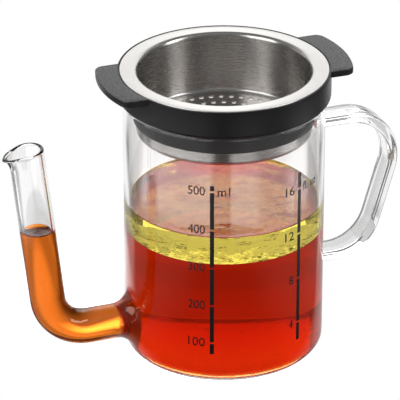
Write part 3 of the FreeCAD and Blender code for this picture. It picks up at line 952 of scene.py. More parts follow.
def soft_seal(sizes):
    """The soft ring: a flange between collar and rim, and a tapered skirt in the mouth."""
    low, top, edge = SEAL_LOW.z, SEAL_HIGH.z, SEAL_HIGH.y
    rim = top - sizes.skirt
    outer = sizes.seal_outer
    foot = outer - sizes.seal_taper
    land = rim - SEAL_NECK - sizes.seal_land
    soft = SEAL_SOFT
    profile = [(sizes.bore, low + soft)]
    profile += arc((sizes.bore + soft, low + soft), soft, 180, 270, 3)
    profile += arc((foot - soft, low + soft), soft, -90, TAPER_FACING, 3)
    profile += [(outer + out * MM, land + rise * MM) for out, rise in LAND_FOOT]
    profile += [(outer + out * MM, rim + rise * MM) for out, rise in LAND_TOP]
    profile += arc((edge - soft, rim + soft), soft, -90, 0, 3)
    profile += arc((edge - soft, top - soft), soft, 0, 90, 3)
    profile += [(sizes.bore, top)]
    net = Net()
    turned(net, profile, TURNED_COLUMNS, loop=True)
    return net.piece("soft_seal", dark_silicone())


# ---------------------------------------------------------------- strainer bowl


HOLE_SIDES = 20
FLAT_SHARE = 0.97  # the flat floor's ring of points lies at this share of its radius
FLANGE_FLAT = 1.5 * MM  # from the roll to the flange's first ring of points
UNDERSIDE = -0.5  # a face of the flange that looks down more than this is its underside
BRUSHED = {"Line scale": 5200.0, "Length": 5.0, "Base": 0.19, "Spread": 0.14}
SPUN = {"Line scale": 5200.0, "Length": 6.0, "Base": 0.16, "Spread": 0.18}


def bowl_profile(sizes):
    """Outside from the middle of the floor up to the flange, and back down the inside."""
    low, top = BOWL_LOW.z, BOWL_HIGH.z
    steel, corner, roll = sizes.steel, sizes.corner, sizes.roll
    hub = (sizes.radius - corner, low + corner)
    rim = (sizes.radius - steel + roll, top - roll)
    edge = (sizes.flange - steel / 2, top - steel / 2)
    profile = [(0.0, low), (hub[0] * FLAT_SHARE, low)]
    profile += arc(hub, corner, -90, 0, 7)
    profile += arc(rim, roll - steel, 180, 90, 6)
    profile += [(rim[0] + FLANGE_FLAT, top - steel)]
    profile += arc(edge, steel / 2, -90, 90, 6)
    profile += [(rim[0] + FLANGE_FLAT, top)]
    profile += arc(rim, roll, 90, 180, 9)
    profile += arc(hub, corner - steel, 0, -90, 7)
    profile += [(hub[0] * FLAT_SHARE, low + steel), (0.0, low + steel)]
    return profile


def perforator(sizes, material):
    """Geometry nodes that punch rings of round holes through a bowl's floor."""
    outer_ring = sizes.radius - sizes.steel - sizes.ring_edge
    wanted = {
        "Hole radius": sizes.hole_radius,
        "Floor height": BOWL_LOW.z + sizes.steel / 2,
        "Outer ring": outer_ring,
        "Ring step": sizes.ring_step,
        "Hole spacing": sizes.hole_spacing,
        "Punch depth": 3 * sizes.steel,
    }
    tree = bpy.data.node_groups.new("Punched floor", "GeometryNodeTree")
    socket(tree, "Geometry", "NodeSocketGeometry")
    for name, value in wanted.items():
        socket(tree, name, default=value)
    socket(tree, "Geometry", "NodeSocketGeometry", way="OUTPUT")
    given = node(tree, "NodeGroupInput").outputs
    punch = node(
        tree,
        "GeometryNodeMeshCylinder",
        {"Vertices": HOLE_SIDES, "Radius": given["Hole radius"], "Depth": given["Punch depth"]},
    )
    punches = node(tree, "GeometryNodeJoinGeometry")
    rings = int((outer_ring - sizes.ring_least) / sizes.ring_step)
    for ring in range(rings + 1):
        inwards = maths(tree, "MULTIPLY", given["Ring step"], float(ring))
        radius = maths(tree, "SUBTRACT", given["Outer ring"], inwards)
        round_way = maths(tree, "MULTIPLY", radius, 2 * math.pi)
        count = maths(tree, "FLOOR", maths(tree, "DIVIDE", round_way, given["Hole spacing"]))
        circle = node(tree, "GeometryNodeMeshCircle", {"Vertices": count, "Radius": radius})
        placed = node(
            tree,
            "GeometryNodeInstanceOnPoints",
            {"Points": circle.outputs["Mesh"], "Instance": punch.outputs["Mesh"]},
        )
        tree.links.new(placed.outputs["Instances"], punches.inputs["Geometry"])
    lifted = node(
        tree,
        "GeometryNodeTransform",
        {
            "Geometry": punches.outputs["Geometry"],
            "Translation": joined(tree, Z=given["Floor height"]),
        },
    )
    solid = node(tree, "GeometryNodeRealizeInstances", {"Geometry": lifted.outputs["Geometry"]})
    cut = node(
        tree,
        "GeometryNodeMeshBoolean",
        {"Mesh 1": given["Geometry"], "Mesh 2": solid.outputs["Geometry"]},
        operation="DIFFERENCE",
        solver="EXACT",
    )
    plain = node(tree, "GeometryNodeRealizeInstances", {"Geometry": cut.outputs["Mesh"]})
    dressed = node(
        tree,
        "GeometryNodeSetMaterial",
        {"Geometry": plain.outputs["Geometry"], "Material": material},
    )
    node(tree, "NodeGroupOutput", {"Geometry": dressed.outputs["Geometry"]})
    return tree


def applied(holder, tree, name, *materials):
    """A plain piece of what geometry nodes make of a holder, which is removed."""
    modifier = holder.modifiers.new("Build", "NODES")
    modifier.node_group = tree
    bpy.context.view_layer.update()
    graph = bpy.context.evaluated_depsgraph_get()
    mesh = bpy.data.meshes.new_from_object(holder.evaluated_get(graph), depsgraph=graph)
    holder.modifiers.remove(modifier)
    bpy.data.objects.remove(holder)
    mesh.name = name
    return finished(name, mesh, *materials, crease=30.0)


def steel_bowl(sizes):
    """The pressed bowl with a punched floor, and a finish of its own on its flange."""
    net = Net()
    turned(net, bowl_profile(sizes), TURNED_COLUMNS)
    brushed = brushed_steel("Brushed steel", BRUSHED, turn=0.25, dark=0.7)
    spun = brushed_steel("Spun flange", SPUN, turn=0.0, dark=0.9)
    blank = net.piece("bowl_blank", brushed)
    bowl = applied(blank, perforator(sizes, brushed), "steel_bowl", brushed, spun)
    for face in bowl.data.polygons:
        if face.center.z > BOWL_HIGH.z - sizes.steel and face.normal.z > UNDERSIDE:
            face.material_index = 1
    return bowl


# ---------------------------------------------------------------- contents


CAP_GATHER = 0.97  # how strongly a cap's rings are drawn in towards its middle
# The glow is painted light: a faint glow all through a liquid in place of light scattered in it;
# the low glow is its strength near the jug's bottom
FAT_LOOK = {"bend": 1.46, "ripple": 1.9 * MM, "scatter_glow": 0.0}
GRAVY_LOOK = {"bend": 1.34, "ripple": 0.8 * MM, "scatter_glow": 0.7, "low_scatter_glow": 8.0}


def surface_cap(net, ring, level, dip, steps=8):
    """The liquid's level surface inside a ring, with its edge drawn up the glass."""
    middle = sum((net.points[number] for number in ring), Vector()) / len(ring)
    middle.z = level
    rim = [net.points[number] for number in ring]
    for step in range(1, steps):
        share = 1 - (step / steps) ** 3 * CAP_GATHER
        points = []
        for point in rim:
            place = middle.lerp(Vector((point.x, point.y, level)), share)
            place.z = level + dip * math.exp(-(1 - share) * (point.xy - middle.xy).length / dip)
            points.append(place)
        new = net.ring(points)
        net.band(ring, new)
        ring = new
    net.band(ring, net.ring([middle] * len(ring)))


def gravy(jug, contents):
    """Gravy in the beaker and, by the spout's bore, up in the spout."""
    net = Net()
    bite, level = contents.bite, contents.gravy_level
    bore = jug.radius - jug.wall + bite
    side, gap = beaker_side(net, bore, jug.inner_corner, jug.floor - bite, level)
    side.skin([gap])
    section = tube_section(jug.spout_radius - jug.spout_wall + bite, TUBE_SIDE)
    ring = side.root(gap, section, jug.spout_height, jug.bore_root)
    stations = spout_stations(jug)
    ring = swept(net, ring, section, stations)
    lines = spout_lines(jug)
    across, rise_axis = stations[-1][1:]
    top = contents.spout_level + contents.gravy_meniscus
    for share in (0.5, 1.0):
        points = []
        for out_a, out_r, *_ in section:
            foot = lines["bend_end"] + across * out_a + rise_axis * out_r
            climb = (top - foot.z) / lines["upwards"].z
            points.append(foot + lines["upwards"] * (climb * share))
        new = net.ring(points)
        net.band(ring, new)
        ring = new
    surface_cap(net, ring, contents.spout_level, contents.gravy_meniscus)
    surface_cap(net, side.rows[-1], level, contents.gravy_edge)
    look = liquid("Gravy", contents.gravy, contents.gravy_deep, **GRAVY_LOOK)
    return net.piece("gravy_prop", look)


def fat(jug, contents, steps=8):
    """The layer of fat that floats on the gravy."""
    net = Net()
    radius = jug.radius - jug.wall + contents.bite
    low = contents.gravy_level + contents.fat_gap
    rise = contents.fat_level + contents.fat_meniscus - low
    profile = [(0.0, low), (radius / 2, low)]
    profile += [(radius, low + rise * step / steps) for step in range(steps + 1)]
    rings = turned(net, profile, BEAKER_COLUMNS)
    surface_cap(net, rings[-1], contents.fat_level, contents.fat_meniscus)
    return net.piece("fat_prop", liquid("Fat", contents.fat, contents.fat_deep, **FAT_LOOK))


# ---------------------------------------------------------------- materials


GLASS_BEND = 1.474
LAMP_PASS = (0.95, 0.95, 0.95, 1)  # share of a lamp's light that glass and liquids let pass
DRAW_STRETCH = (1.0, 1.0, 0.35)  # the glass's unevenness is drawn out upwards
DRAW_SCALE, RIPPLE_SCALE, SWELL_SCALE = 55.0, 110.0, 90.0
# Strength and distance of reliefs
DRAW_RELIEF = (0.3, 0.1 * MM)
LINE_RELIEF = (0.22, 0.03 * MM)
GRAIN_STRENGTH = 0.6
DEEP = 0.05  # depth that a liquid's deep colour is given for
DARKEST = 0.001  # least share of light that a deep colour lets through
LEVEL_FACING = 0.6  # a liquid's face that looks up or down more than this is its surface
RIPPLE_FACING, RIPPLE_CALM = (-0.5, 0.5), (1.0, 0.12)  # ripples are fainter facing up
# Heights over which the gravy's painted glow goes from its strength near the bottom to its
# strength above
LOW_GLOW_HEIGHTS = (3 * MM, 17 * MM)
PEAKS = (0.42, 0.62)  # heights of the grain between which its painted highlight comes up
PAST_RING = (-0.2 * MM, 0.1 * MM)  # the ears' painted highlight comes up over this range round the ring
NEAR_TOP = (-0.25 * MM, -0.1 * MM)  # and over this range near the ears' top
PLASTIC_SKIN = {"Grain scale": 1300.0, "Grain share": 0.85, "Base": 0.3, "Spread": 0.12}
SILICONE_SKIN = {"Grain scale": 1500.0, "Grain share": 0.4, "Base": 0.5, "Spread": 0.15}
ENAMEL_SKIN = {"Grain scale": 4200.0, "Grain share": 0.5, "Base": 0.22, "Spread": 0.16}


def effect(name, inputs):
    """A shared shader group for a height and a roughness, and what its input node puts out."""
    tree = bpy.data.node_groups.new(name, "ShaderNodeTree")
    for label, default in inputs.items():
        socket(tree, label, default=default)
    for label in ("Height", "Roughness"):
        socket(tree, label, way="OUTPUT")
    return tree, node(tree, "NodeGroupInput").outputs


def noise(tree, place, scale, detail=2.0, roughness=0.5):
    """Soft noise at a place."""
    inputs = {"Vector": place, "Scale": scale, "Detail": detail, "Roughness": roughness}
    return node(tree, "ShaderNodeTexNoise", inputs).outputs["Fac"]


def moulded_grain():
    """Fine pitted grain and slow unevenness, as on moulded plastic and silicone."""
    if "Moulded grain" in bpy.data.node_groups:
        return bpy.data.node_groups["Moulded grain"]
    tree, given = effect("Moulded grain", PLASTIC_SKIN)
    place = object_place(tree)
    grain = noise(tree, place, given["Grain scale"], detail=3.0)
    swell = noise(tree, place, SWELL_SCALE)
    mix = node(tree, "ShaderNodeMix", {"Factor": given["Grain share"], "A": swell, "B": grain})
    uneven = maths(tree, "MULTIPLY_ADD", swell, given["Spread"], given["Base"])
    node(tree, "NodeGroupOutput", {"Height": mix.outputs["Result"], "Roughness": uneven})
    return tree


def turned_lines():
    """Fine lines round the Z axis, broken along their length, as on brushed or spun steel."""
    if "Turned lines" in bpy.data.node_groups:
        return bpy.data.node_groups["Turned lines"]
    tree, given = effect("Turned lines", BRUSHED)
    place = parted(tree, object_place(tree))
    flat = joined(tree, X=place["X"], Y=place["Y"])
    round_way = vectors(tree, "NORMALIZE", {0: flat})
    along = vectors(tree, "SCALE", {0: round_way, "Scale": given["Length"]})
    depth = maths(tree, "ADD", vectors(tree, "LENGTH", {0: flat}, "Value"), place["Z"])
    lines = joined(tree, Z=maths(tree, "MULTIPLY", depth, given["Line scale"]))
    where = vectors(tree, "ADD", {0: along, 1: lines})
    height = noise(tree, where, 1.0, detail=3.0, roughness=0.7)
    uneven = maths(tree, "MULTIPLY_ADD", height, given["Spread"], given["Base"])
    node(tree, "NodeGroupOutput", {"Height": height, "Roughness": uneven})
    return tree


def new_material(name, **look):
    """An empty node material with its shader, whose inputs take a look, and its output."""
    material = bpy.data.materials.new(name)
    material.use_nodes = True
    tree = material.node_tree
    tree.nodes.clear()
    inputs = {key.replace("_", " "): value for key, value in look.items()}
    shader = node(tree, "ShaderNodeBsdfPrincipled", inputs)
    output = node(tree, "ShaderNodeOutputMaterial")
    return material, tree, shader, output


def link_all(tree, shader, **sources):
    """Links sockets to a shader's inputs."""
    for key, source in sources.items():
        tree.links.new(source, shader.inputs[key.replace("_", " ")])


def relief(tree, strength, distance, height):
    """The normal of a surface with a height."""
    inputs = {"Strength": strength, "Distance": distance, "Height": height}
    return node(tree, "ShaderNodeBump", inputs).outputs["Normal"]


def colour_between(tree, share, first, second):
    """A colour between two, by a share."""
    inputs = {"Factor": share, COLOUR_A: first, COLOUR_B: second}
    return node(tree, "ShaderNodeMix", inputs, data_type="RGBA").outputs[COLOUR_RESULT]


def surface_between(tree, share, first, second):
    """A surface between two, by a share."""
    inputs = {0: share, 1: first, 2: second}
    return node(tree, "ShaderNodeMixShader", inputs).outputs["Shader"]


def lets_lamps_through(tree, surface, output):
    """Lets light from lamps pass, so that what is behind clear glass stays lit."""
    to_lamp = node(tree, "ShaderNodeLightPath").outputs["Is Shadow Ray"]
    clear = node(tree, "ShaderNodeBsdfTransparent", {"Color": LAMP_PASS}).outputs["BSDF"]
    link_all(tree, output, Surface=surface_between(tree, to_lamp, surface, clear))


def clear_glass():
    """Clear blown glass with a faint draw in its surface."""
    material, tree, shader, output = new_material(
        "Clear glass",
        Base_Color=(1, 1, 1, 1),
        Roughness=0.0,
        IOR=GLASS_BEND,
        Transmission_Weight=1.0,
    )
    inputs = {"Vector": object_place(tree), "Scale": DRAW_STRETCH}
    stretched = node(tree, "ShaderNodeMapping", inputs).outputs["Vector"]
    draw = noise(tree, stretched, DRAW_SCALE, detail=1.0)
    link_all(tree, shader, Normal=relief(tree, *DRAW_RELIEF, draw))
    lets_lamps_through(tree, shader.outputs["BSDF"], output)
    return material


def liquid(name, tint, deep, bend, ripple, scatter_glow, low_scatter_glow=0.0):
    """A clear liquid: the tint of any layer of it, and what 5 cm of it lets through besides.

    Its upright skin bends light without a glint of its own, as it does against glass. Its glow is
    painted light: a faint glow all through it in place of light scattered in it, which may be
    stronger near the jug's bottom.
    """
    material, tree, shader, output = new_material(
        name, Base_Color=tuple(tint), Roughness=0.0, IOR=bend, Transmission_Weight=1.0
    )
    skin_tint = (*(math.sqrt(share) for share in tint[:3]), 1)
    inputs = {"Color": skin_tint, "Roughness": 0.0, "IOR": bend}
    skin = node(tree, "ShaderNodeBsdfRefraction", inputs).outputs["BSDF"]
    upwards = parted(tree, node(tree, "ShaderNodeNewGeometry").outputs["True Normal"])["Z"]
    level = maths(tree, "GREATER_THAN", maths(tree, "ABSOLUTE", upwards), LEVEL_FACING)
    place = object_place(tree)
    calm = ranged(tree, upwards, RIPPLE_FACING, RIPPLE_CALM)
    ripples = relief(tree, calm, ripple, noise(tree, place, RIPPLE_SCALE))
    link_all(tree, shader, Normal=ripples)
    body = surface_between(tree, level, skin, shader.outputs["BSDF"])
    lets_lamps_through(tree, body, output)
    taken = [-math.log(max(share, DARKEST)) / DEEP for share in deep[:3]]
    density = max(taken)
    left = [1 - share / density for share in taken]
    takes = node(tree, "ShaderNodeVolumeAbsorption", {"Color": (*left, 1), "Density": density})
    # Painted light: the liquid glows in place of light scattered in it, more strongly near the
    # bottom
    if low_scatter_glow:
        scatter_glow = smooth_range(tree, parted(tree, place)["Z"], LOW_GLOW_HEIGHTS, (low_scatter_glow, scatter_glow))
    painted_glow = node(tree, "ShaderNodeEmission", {"Color": (*tint[:3], 1), "Strength": scatter_glow})
    inputs = {0: takes.outputs["Volume"], 1: painted_glow.outputs["Emission"]}
    link_all(tree, output, Volume=node(tree, "ShaderNodeAddShader", inputs).outputs["Shader"])
    return material


def brushed_steel(name, lines, turn, dark):
    """Stainless steel brushed round the axis; its lights draw out across the lines at a turn."""
    material, tree, shader, output = new_material(
        name, Metallic=1.0, Anisotropic=0.8, Anisotropic_Rotation=turn
    )
    tangent = node(tree, "ShaderNodeTangent", direction_type="RADIAL", axis="Z")
    brushed = node(tree, "ShaderNodeGroup", lines, node_tree=turned_lines()).outputs
    tint = bpy.context.scene.separator_finishes.steel
    shaded = (*(share * dark for share in tint[:3]), 1)
    link_all(
        tree,
        shader,
        Tangent=tangent.outputs["Tangent"],
        Base_Color=colour_between(tree, brushed["Height"], shaded, tuple(tint)),
        Roughness=brushed["Roughness"],
        Normal=relief(tree, *LINE_RELIEF, brushed["Height"]),
    )
    link_all(tree, output, Surface=shader.outputs["BSDF"])
    return material


def grained(name, tint, skin, depth, gloss, ears=None):
    """A moulded material: its colour, and grain, roughness, depth and gloss of its skin.

    Its ears are given as a colour and ranges of the reach from the axis and of height: beyond
    and above these, the grain's peaks have that colour, a painted highlight where light catches
    the top of the ears.
    """
    material, tree, shader, output = new_material(
        name, Base_Color=tuple(tint), Specular_IOR_Level=gloss
    )
    grain = node(tree, "ShaderNodeGroup", skin, node_tree=moulded_grain()).outputs
    normal = relief(tree, GRAIN_STRENGTH, depth, grain["Height"])
    link_all(tree, shader, Roughness=grain["Roughness"], Normal=normal)
    # Painted highlight: on top of the ears the grain's peaks are lighter, where light catches
    # them
    if ears:
        fleck, beyond, above = ears
        place = parted(tree, object_place(tree))
        reach = vectors(tree, "LENGTH", {0: joined(tree, X=place["X"], Y=place["Y"])}, "Value")
        highlit_peaks = folded(
            tree,
            "MULTIPLY",
            smooth_range(tree, grain["Height"], PEAKS, (0, 1)),
            smooth_range(tree, place["Z"], above, (0, 1)),
            smooth_range(tree, reach, beyond, (0, 1)),
        )
        link_all(tree, shader, Base_Color=colour_between(tree, highlit_peaks, tuple(tint), fleck))
    link_all(tree, output, Surface=shader.outputs["BSDF"])
    return material


def satin_plastic():
    """The collar's plastic: satin, with a painted highlight on the grain's peaks atop the ears.
    """
    finishes = bpy.context.scene.separator_finishes
    beyond = [COLLAR_HIGH.y + away for away in PAST_RING]
    above = [COLLAR_HIGH.z + away for away in NEAR_TOP]
    ears = (tuple(finishes.fleck), beyond, above)
    return grained("Satin plastic", finishes.plastic, PLASTIC_SKIN, 0.15 * MM, 0.33, ears)


def dark_silicone():
    """The seal's soft silicone."""
    tint = bpy.context.scene.separator_finishes.silicone
    return grained("Dark silicone", tint, SILICONE_SKIN, 0.03 * MM, 0.35)


def fired_enamel():
    """The print's enamel."""
    if "Fired enamel" in bpy.data.materials:
        return bpy.data.materials["Fired enamel"]
    tint = bpy.context.scene.separator_finishes.enamel
    return grained("Fired enamel", tint, ENAMEL_SKIN, 0.01 * MM, 0.5)


# ---------------------------------------------------------------- studio


FLOOR_GAP = 0.2 * MM  # the floor lies this far under the jug
BOUNCES = {"max_bounces": 40, "transmission_bounces": 40, "glossy_bounces": 16}
SKY_RISE, SKY_TONES = (0.0, 0.5), (0.6, 1.0)  # the sky's tone by its height
SENSOR_WIDTH = 36  # millimetres
CLIP_END = 20
# Name, degrees from straight behind the jug, distance, height, and the box's width and height
SOFTBOXES = (
    ("back", 0, 1.25, 0.72, (2.2, 0.8)),
    ("left", 128, 0.9, 0.55, (0.7, 0.9)),
    ("right", -108, 0.9, 0.55, (0.32, 0.9)),
    ("low", 62, 0.8, 0.25, (0.6, 0.42)),
)

# A place on the floor is known by metres back from the jug's axis, metres sideways to its
# right as the camera has it, metres aside to either hand, metres of reach all round, and
# radians of turn from straight in front towards the right. An edge of a zone names one of
# these, the range over which the light changes there, and its factors before and after.
LIT_PLATE = (("reach", (0.038, 0.046), (1, 0)), ("back", (-0.01, 0.02), (1, 0.12)))
LIT_RING = (
    ("reach", (0.17, 0.21), (0, 1)),
    ("reach", (0.25, 0.28), (1, 0)),
    ("back", (0.02, 0.07), (1, 0)),
)
RING_PARTS = (
    (("turn", (-0.3, -0.15), (1, 0)),),
    (("turn", (0.08, 0.16), (0, 0.9)), ("turn", (0.5, 0.8), (1, 0.3))),
    (("turn", (1.0, 1.4), (0, 1)),),
)
STREAK = (
    ("back", (0.011, 0.02), (0, 1)),
    ("back", (0.022, 0.045), (1, 0)),
    ("sideways", (-0.08, -0.062), (0, 1)),
    ("sideways", (-0.046, -0.038), (1, 0)),
)
GREY_EDGE = (0.05, 0.12)
STRIP_EDGE = 0.04
FAR_BACK = (0.15, 0.22)
JUG_SIDE = 0.045  # the white floor's edge runs back from here on either hand
SLOPE_TURN, SLOPES = (-0.02, 0.02), (0.7, 1.3)  # how fast it does so on the left and right
SPOUT_SIDE, SPOUT_NOTCH = (-0.06, -0.045), 0.012
WHITE_EDGE = (-0.04, -0.01)
# Spots of painted light and shade in it: sideways, back, how they are squeezed backwards, the
# reaches over which the core and its surroundings change, and the core's factors
SPOTS = (
    (-0.075, 0.062, 0.5, (0.012, 0.03), (0.036, 0.05), (1.6, 0.8)),
    (0.002, 0.06, 1.0, (0.005, 0.018), (0.024, 0.034), (1.0, 0.85)),
)
HANDLE_LEAN = 0.16  # how the shade behind the handle leans away to the right
HANDLE_SHADE = ((0.029, 0.035), (1, 0.68))
SHADE_ENDS = (("sideways", (0.08, 0.1), (0, 1)), ("back", (0.24, 0.3), (0, 1)))


def softbox(name, studio, aside, distance, height, size, glow):
    """A soft light at an angle from straight behind the jug, aimed at the jug."""
    lamp = bpy.data.lights.new(name, "AREA")
    lamp.shape = "RECTANGLE"
    lamp.size, lamp.size_y = size
    lamp.energy = glow * math.pi * size[0] * size[1]
    holder = bpy.data.objects.new(name, lamp)
    bpy.context.scene.collection.objects.link(holder)
    way = math.pi / 2 + studio.azimuth + math.radians(aside)
    place = Vector((math.cos(way) * distance, math.sin(way) * distance, height))
    aim = UP * COLLAR_HIGH.z
    holder.location = place
    holder.rotation_euler = (aim - place).to_track_quat("-Z", "Y").to_euler()


def floor_places(tree, studio):
    """What places on the floor are known by, as sockets."""
    place = object_place(tree)
    inputs = {"Vector": place, "Angle": -studio.azimuth}
    split = parted(tree, node(tree, "ShaderNodeVectorRotate", inputs).outputs["Vector"])
    back, sideways = split["Y"], split["X"]
    return {
        "back": back,
        "sideways": sideways,
        "aside": maths(tree, "ABSOLUTE", sideways),
        "reach": vectors(tree, "LENGTH", {0: place}, "Value"),
        "turn": maths(tree, "ARCTAN2", sideways, maths(tree, "MULTIPLY", back, -1.0)),
    }


def zone(tree, at, level, edges):
    """The light of a zone of the floor: its level inside its edges."""
    for key, given, factors in edges:
        level = maths(tree, "MULTIPLY", level, smooth_range(tree, at[key], given, factors))
    return level


def white_behind(tree, at, studio):
    """The white floor behind the jug, with the spots and the shade in it."""
    back, sideways = at["back"], at["sideways"]
    strip = smooth_range(tree, at["aside"], (studio.strip, studio.strip + STRIP_EDGE), (1, 0))
    far = smooth_range(tree, back, FAR_BACK, (0, 1))
    outside = maths(tree, "MAXIMUM", maths(tree, "SUBTRACT", at["aside"], JUG_SIDE), 0.0)
    slope = smooth_range(tree, sideways, SLOPE_TURN, SLOPES)
    notch = smooth_range(tree, sideways, SPOUT_SIDE, (SPOUT_NOTCH, 0))
    nearer = folded(tree, "SUBTRACT", back, maths(tree, "MULTIPLY", outside, slope), notch)
    white = smooth_range(tree, nearer, WHITE_EDGE, (0, studio.white_floor))
    white = maths(tree, "MULTIPLY", white, maths(tree, "MAXIMUM", strip, far))
    for across, along, squeeze, core_edge, outer_edge, factors in SPOTS:
        aside_it = maths(tree, "SUBTRACT", sideways, across)
        behind_it = maths(tree, "MULTIPLY", maths(tree, "SUBTRACT", back, along), squeeze)
        away = vectors(tree, "LENGTH", {0: joined(tree, X=aside_it, Y=behind_it)}, "Value")
        core = smooth_range(tree, away, core_edge, factors)
        around = smooth_range(tree, away, outer_edge, (0, 1))
        white = maths(tree, "MULTIPLY", white, maths(tree, "MAXIMUM", core, around))
    lean = maths(tree, "SUBTRACT", sideways, maths(tree, "MULTIPLY", back, HANDLE_LEAN))
    shade = smooth_range(tree, lean, *HANDLE_SHADE)
    for key, given, factors in SHADE_ENDS:
        shade = maths(tree, "MAXIMUM", shade, smooth_range(tree, at[key], given, factors))
    return maths(tree, "MULTIPLY", white, shade)


def studio_floor(studio):
    """A white floor, clear from below. It glows white to the camera, and in zones of painted
    light and shade to glass and steel.
    """
    half = studio.floor_size / 2
    turn = Matrix.Rotation(studio.azimuth, 3, "Z")
    corners = ((-half, -half), (half, -half), (half, half), (-half, half))
    net = Net()
    net.faces.append(tuple(net.ring([turn @ Vector((x, y, -FLOOR_GAP)) for x, y in corners])))
    material, tree, shader, output = new_material("Studio floor")
    tree.nodes.remove(shader)
    at = floor_places(tree, studio)
    grey = smooth_range(tree, at["aside"], GREY_EDGE, (studio.front_floor, studio.side_floor))
    parts = folded(tree, "MAXIMUM", *(zone(tree, at, 1.0, edges) for edges in RING_PARTS))
    ring = maths(tree, "MULTIPLY", zone(tree, at, studio.outer_floor, LIT_RING), parts)
    plate = zone(tree, at, studio.lit_plate, LIT_PLATE)
    streak = zone(tree, at, studio.streak, STREAK)
    white = white_behind(tree, at, studio)
    level = folded(tree, "MAXIMUM", white, grey, plate, ring, streak)
    to_camera = node(tree, "ShaderNodeLightPath").outputs["Is Camera Ray"]
    inputs = {"Color": tuple(studio.floor), "Strength": maths(tree, "MAXIMUM", to_camera, level)}
    glow = node(tree, "ShaderNodeEmission", inputs).outputs["Emission"]
    below = node(tree, "ShaderNodeNewGeometry").outputs["Backfacing"]
    clear = node(tree, "ShaderNodeBsdfTransparent").outputs["BSDF"]
    link_all(tree, output, Surface=surface_between(tree, below, glow, clear))
    net.piece("studio_floor", material)


def sky(studio):
    """Soft light all round, dimmer at the horizon so that glass edges read."""
    world = bpy.data.worlds.new("Studio")
    bpy.context.scene.world = world
    world.use_nodes = True
    tree = world.node_tree
    tree.nodes.clear()
    rise = parted(tree, node(tree, "ShaderNodeTexCoord").outputs["Generated"])["Z"]
    inputs = {"Color": ranged(tree, rise, SKY_RISE, SKY_TONES), "Strength": studio.sky}
    light = node(tree, "ShaderNodeBackground", inputs)
    node(tree, "ShaderNodeOutputWorld", {"Surface": light.outputs["Background"]})


def studio_camera(studio):
    """The camera at its angle to the jug, moved sideways and upwards without a turn."""
    across = Vector((math.cos(studio.azimuth), math.sin(studio.azimuth), 0))
    level = Vector((math.sin(studio.azimuth), -math.cos(studio.azimuth), 0))
    back = level * math.cos(studio.elevation) + UP * math.sin(studio.elevation)
    upwards = back.cross(across)
    camera = bpy.data.objects.new("studio_camera", bpy.data.cameras.new("studio_camera"))
    bpy.context.scene.collection.objects.link(camera)
    camera.data.lens = studio.lens
    camera.data.sensor_width = SENSOR_WIDTH
    camera.data.clip_end = CLIP_END
    place = UP * studio.aim_height + back * studio.distance
    place += across * studio.aside + upwards * studio.lowered
    camera.location = place
    camera.rotation_euler = Matrix((across, upwards, back)).transposed().to_euler()
    bpy.context.scene.camera = camera


# ---------------------------------------------------------------- operators


class SEPARATOR_OT_glass(bpy.types.Operator):
    """Make the fused glass jug in place of its three glass parts"""

    bl_idname = "separator.glass"
    bl_label = "Glass jug"

    def execute(self, context):
        jug = glass_jug(context.scene.separator_jug)
        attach(jug, "jug")
        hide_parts("glass_beaker", "glass_spout", "glass_handle")
        return {"FINISHED"}


class SEPARATOR_OT_scales(bpy.types.Operator):
    """Print both scales: finish their bars and add their numbers"""

    bl_idname = "separator.scales"
    bl_label = "Printed scales"

    def execute(self, context):
        sizes = context.scene.separator_scales
        jug = context.scene.separator_jug
        for bar in ("ml_scale", "oz_scale"):
            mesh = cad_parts[bar].data
            mesh.materials.clear()
            mesh.materials.append(fired_enamel())
        front = -math.pi / 2
        ml_marks = [(str(amount), amount) for amount in MARKS_ML]
        oz_marks = [(str(amount), amount * ML_PER_OZ) for amount in MARKS_OZ]
        rows = (
            ("ml_numbers", ml_marks, ("ml", sizes.ml_width), front - sizes.bar_angle),
            ("oz_numbers", oz_marks, ("fl. oz", sizes.oz_width), front + sizes.bar_angle),
        )
        for row in rows:
            piece = scale_numbers(*row, sizes, jug)
            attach(piece, "jug")
        return {"FINISHED"}


class SEPARATOR_OT_collar(bpy.types.Operator):
    """Make the eared collar and the seal under it"""

    bl_idname = "separator.collar"
    bl_label = "Collar and seal"

    def execute(self, context):
        sizes = context.scene.separator_collar
        ring = collar_ring(sizes)
        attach(ring, "holder")
        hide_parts("collar")
        seal = soft_seal(sizes)
        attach(seal, "holder")
        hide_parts("seal_ring")
        return {"FINISHED"}


class SEPARATOR_OT_bowl(bpy.types.Operator):
    """Make the steel bowl with its punched floor"""

    bl_idname = "separator.bowl"
    bl_label = "Strainer bowl"

    def execute(self, context):
        bowl = steel_bowl(context.scene.separator_bowl)
        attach(bowl, "strainer")
        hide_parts("strainer_bowl")
        return {"FINISHED"}


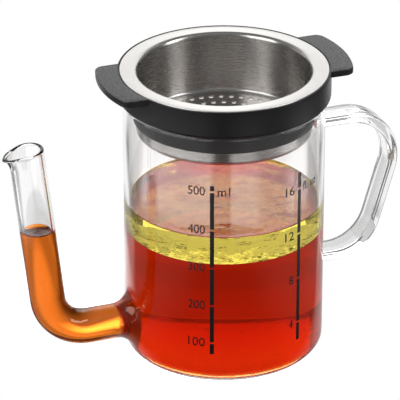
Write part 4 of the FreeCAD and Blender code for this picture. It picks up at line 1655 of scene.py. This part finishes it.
class SEPARATOR_OT_contents(bpy.types.Operator):
    """Fill the jug with gravy and fat as props"""

    bl_idname = "separator.contents"
    bl_label = "Contents"

    def execute(self, context):
        contents = context.scene.separator_contents
        if contents.shown:
            jug = context.scene.separator_jug
            gravy(jug, contents)
            fat(jug, contents)
        return {"FINISHED"}


class SEPARATOR_OT_studio(bpy.types.Operator):
    """Set the floor, the light and the camera"""

    bl_idname = "separator.studio"
    bl_label = "Studio"

    def execute(self, context):
        studio = context.scene.separator_studio
        context.scene.view_settings.view_transform = "Standard"
        for key, bounces in BOUNCES.items():
            setattr(context.scene.cycles, key, bounces)
        studio_floor(studio)
        sky(studio)
        for name, *place in SOFTBOXES:
            softbox(name, studio, *place, getattr(studio, name))
        studio_camera(studio)
        return {"FINISHED"}


STEPS = ("glass", "scales", "collar", "bowl", "contents", "studio")


class SEPARATOR_PT_panel(bpy.types.Panel):
    """Sizes, colours and steps of the fat separator"""

    bl_label = "Fat Separator"
    bl_idname = "SEPARATOR_PT_panel"
    bl_space_type = "VIEW_3D"
    bl_region_type = "UI"
    bl_category = "Fat Separator"

    def draw(self, context):
        for step in STEPS:
            self.layout.operator(f"separator.{step}")
        for name, group in SETTINGS.items():
            box = self.layout.box()
            box.label(text=group.__doc__)
            for key in group.__annotations__:
                box.prop(getattr(context.scene, name), key)


CLASSES = (
    *SETTINGS.values(),
    SEPARATOR_OT_glass,
    SEPARATOR_OT_scales,
    SEPARATOR_OT_collar,
    SEPARATOR_OT_bowl,
    SEPARATOR_OT_contents,
    SEPARATOR_OT_studio,
    SEPARATOR_PT_panel,
)


def register():
    for item in CLASSES:
        bpy.utils.register_class(item)
    for name, group in SETTINGS.items():
        setattr(bpy.types.Scene, name, PointerProperty(type=group))


def unregister():
    for name in SETTINGS:
        delattr(bpy.types.Scene, name)
    for item in reversed(CLASSES):
        bpy.utils.unregister_class(item)


def main():
    register()
    for step in STEPS:
        getattr(bpy.ops.separator, step)()


if __name__ == "__main__":
    main()
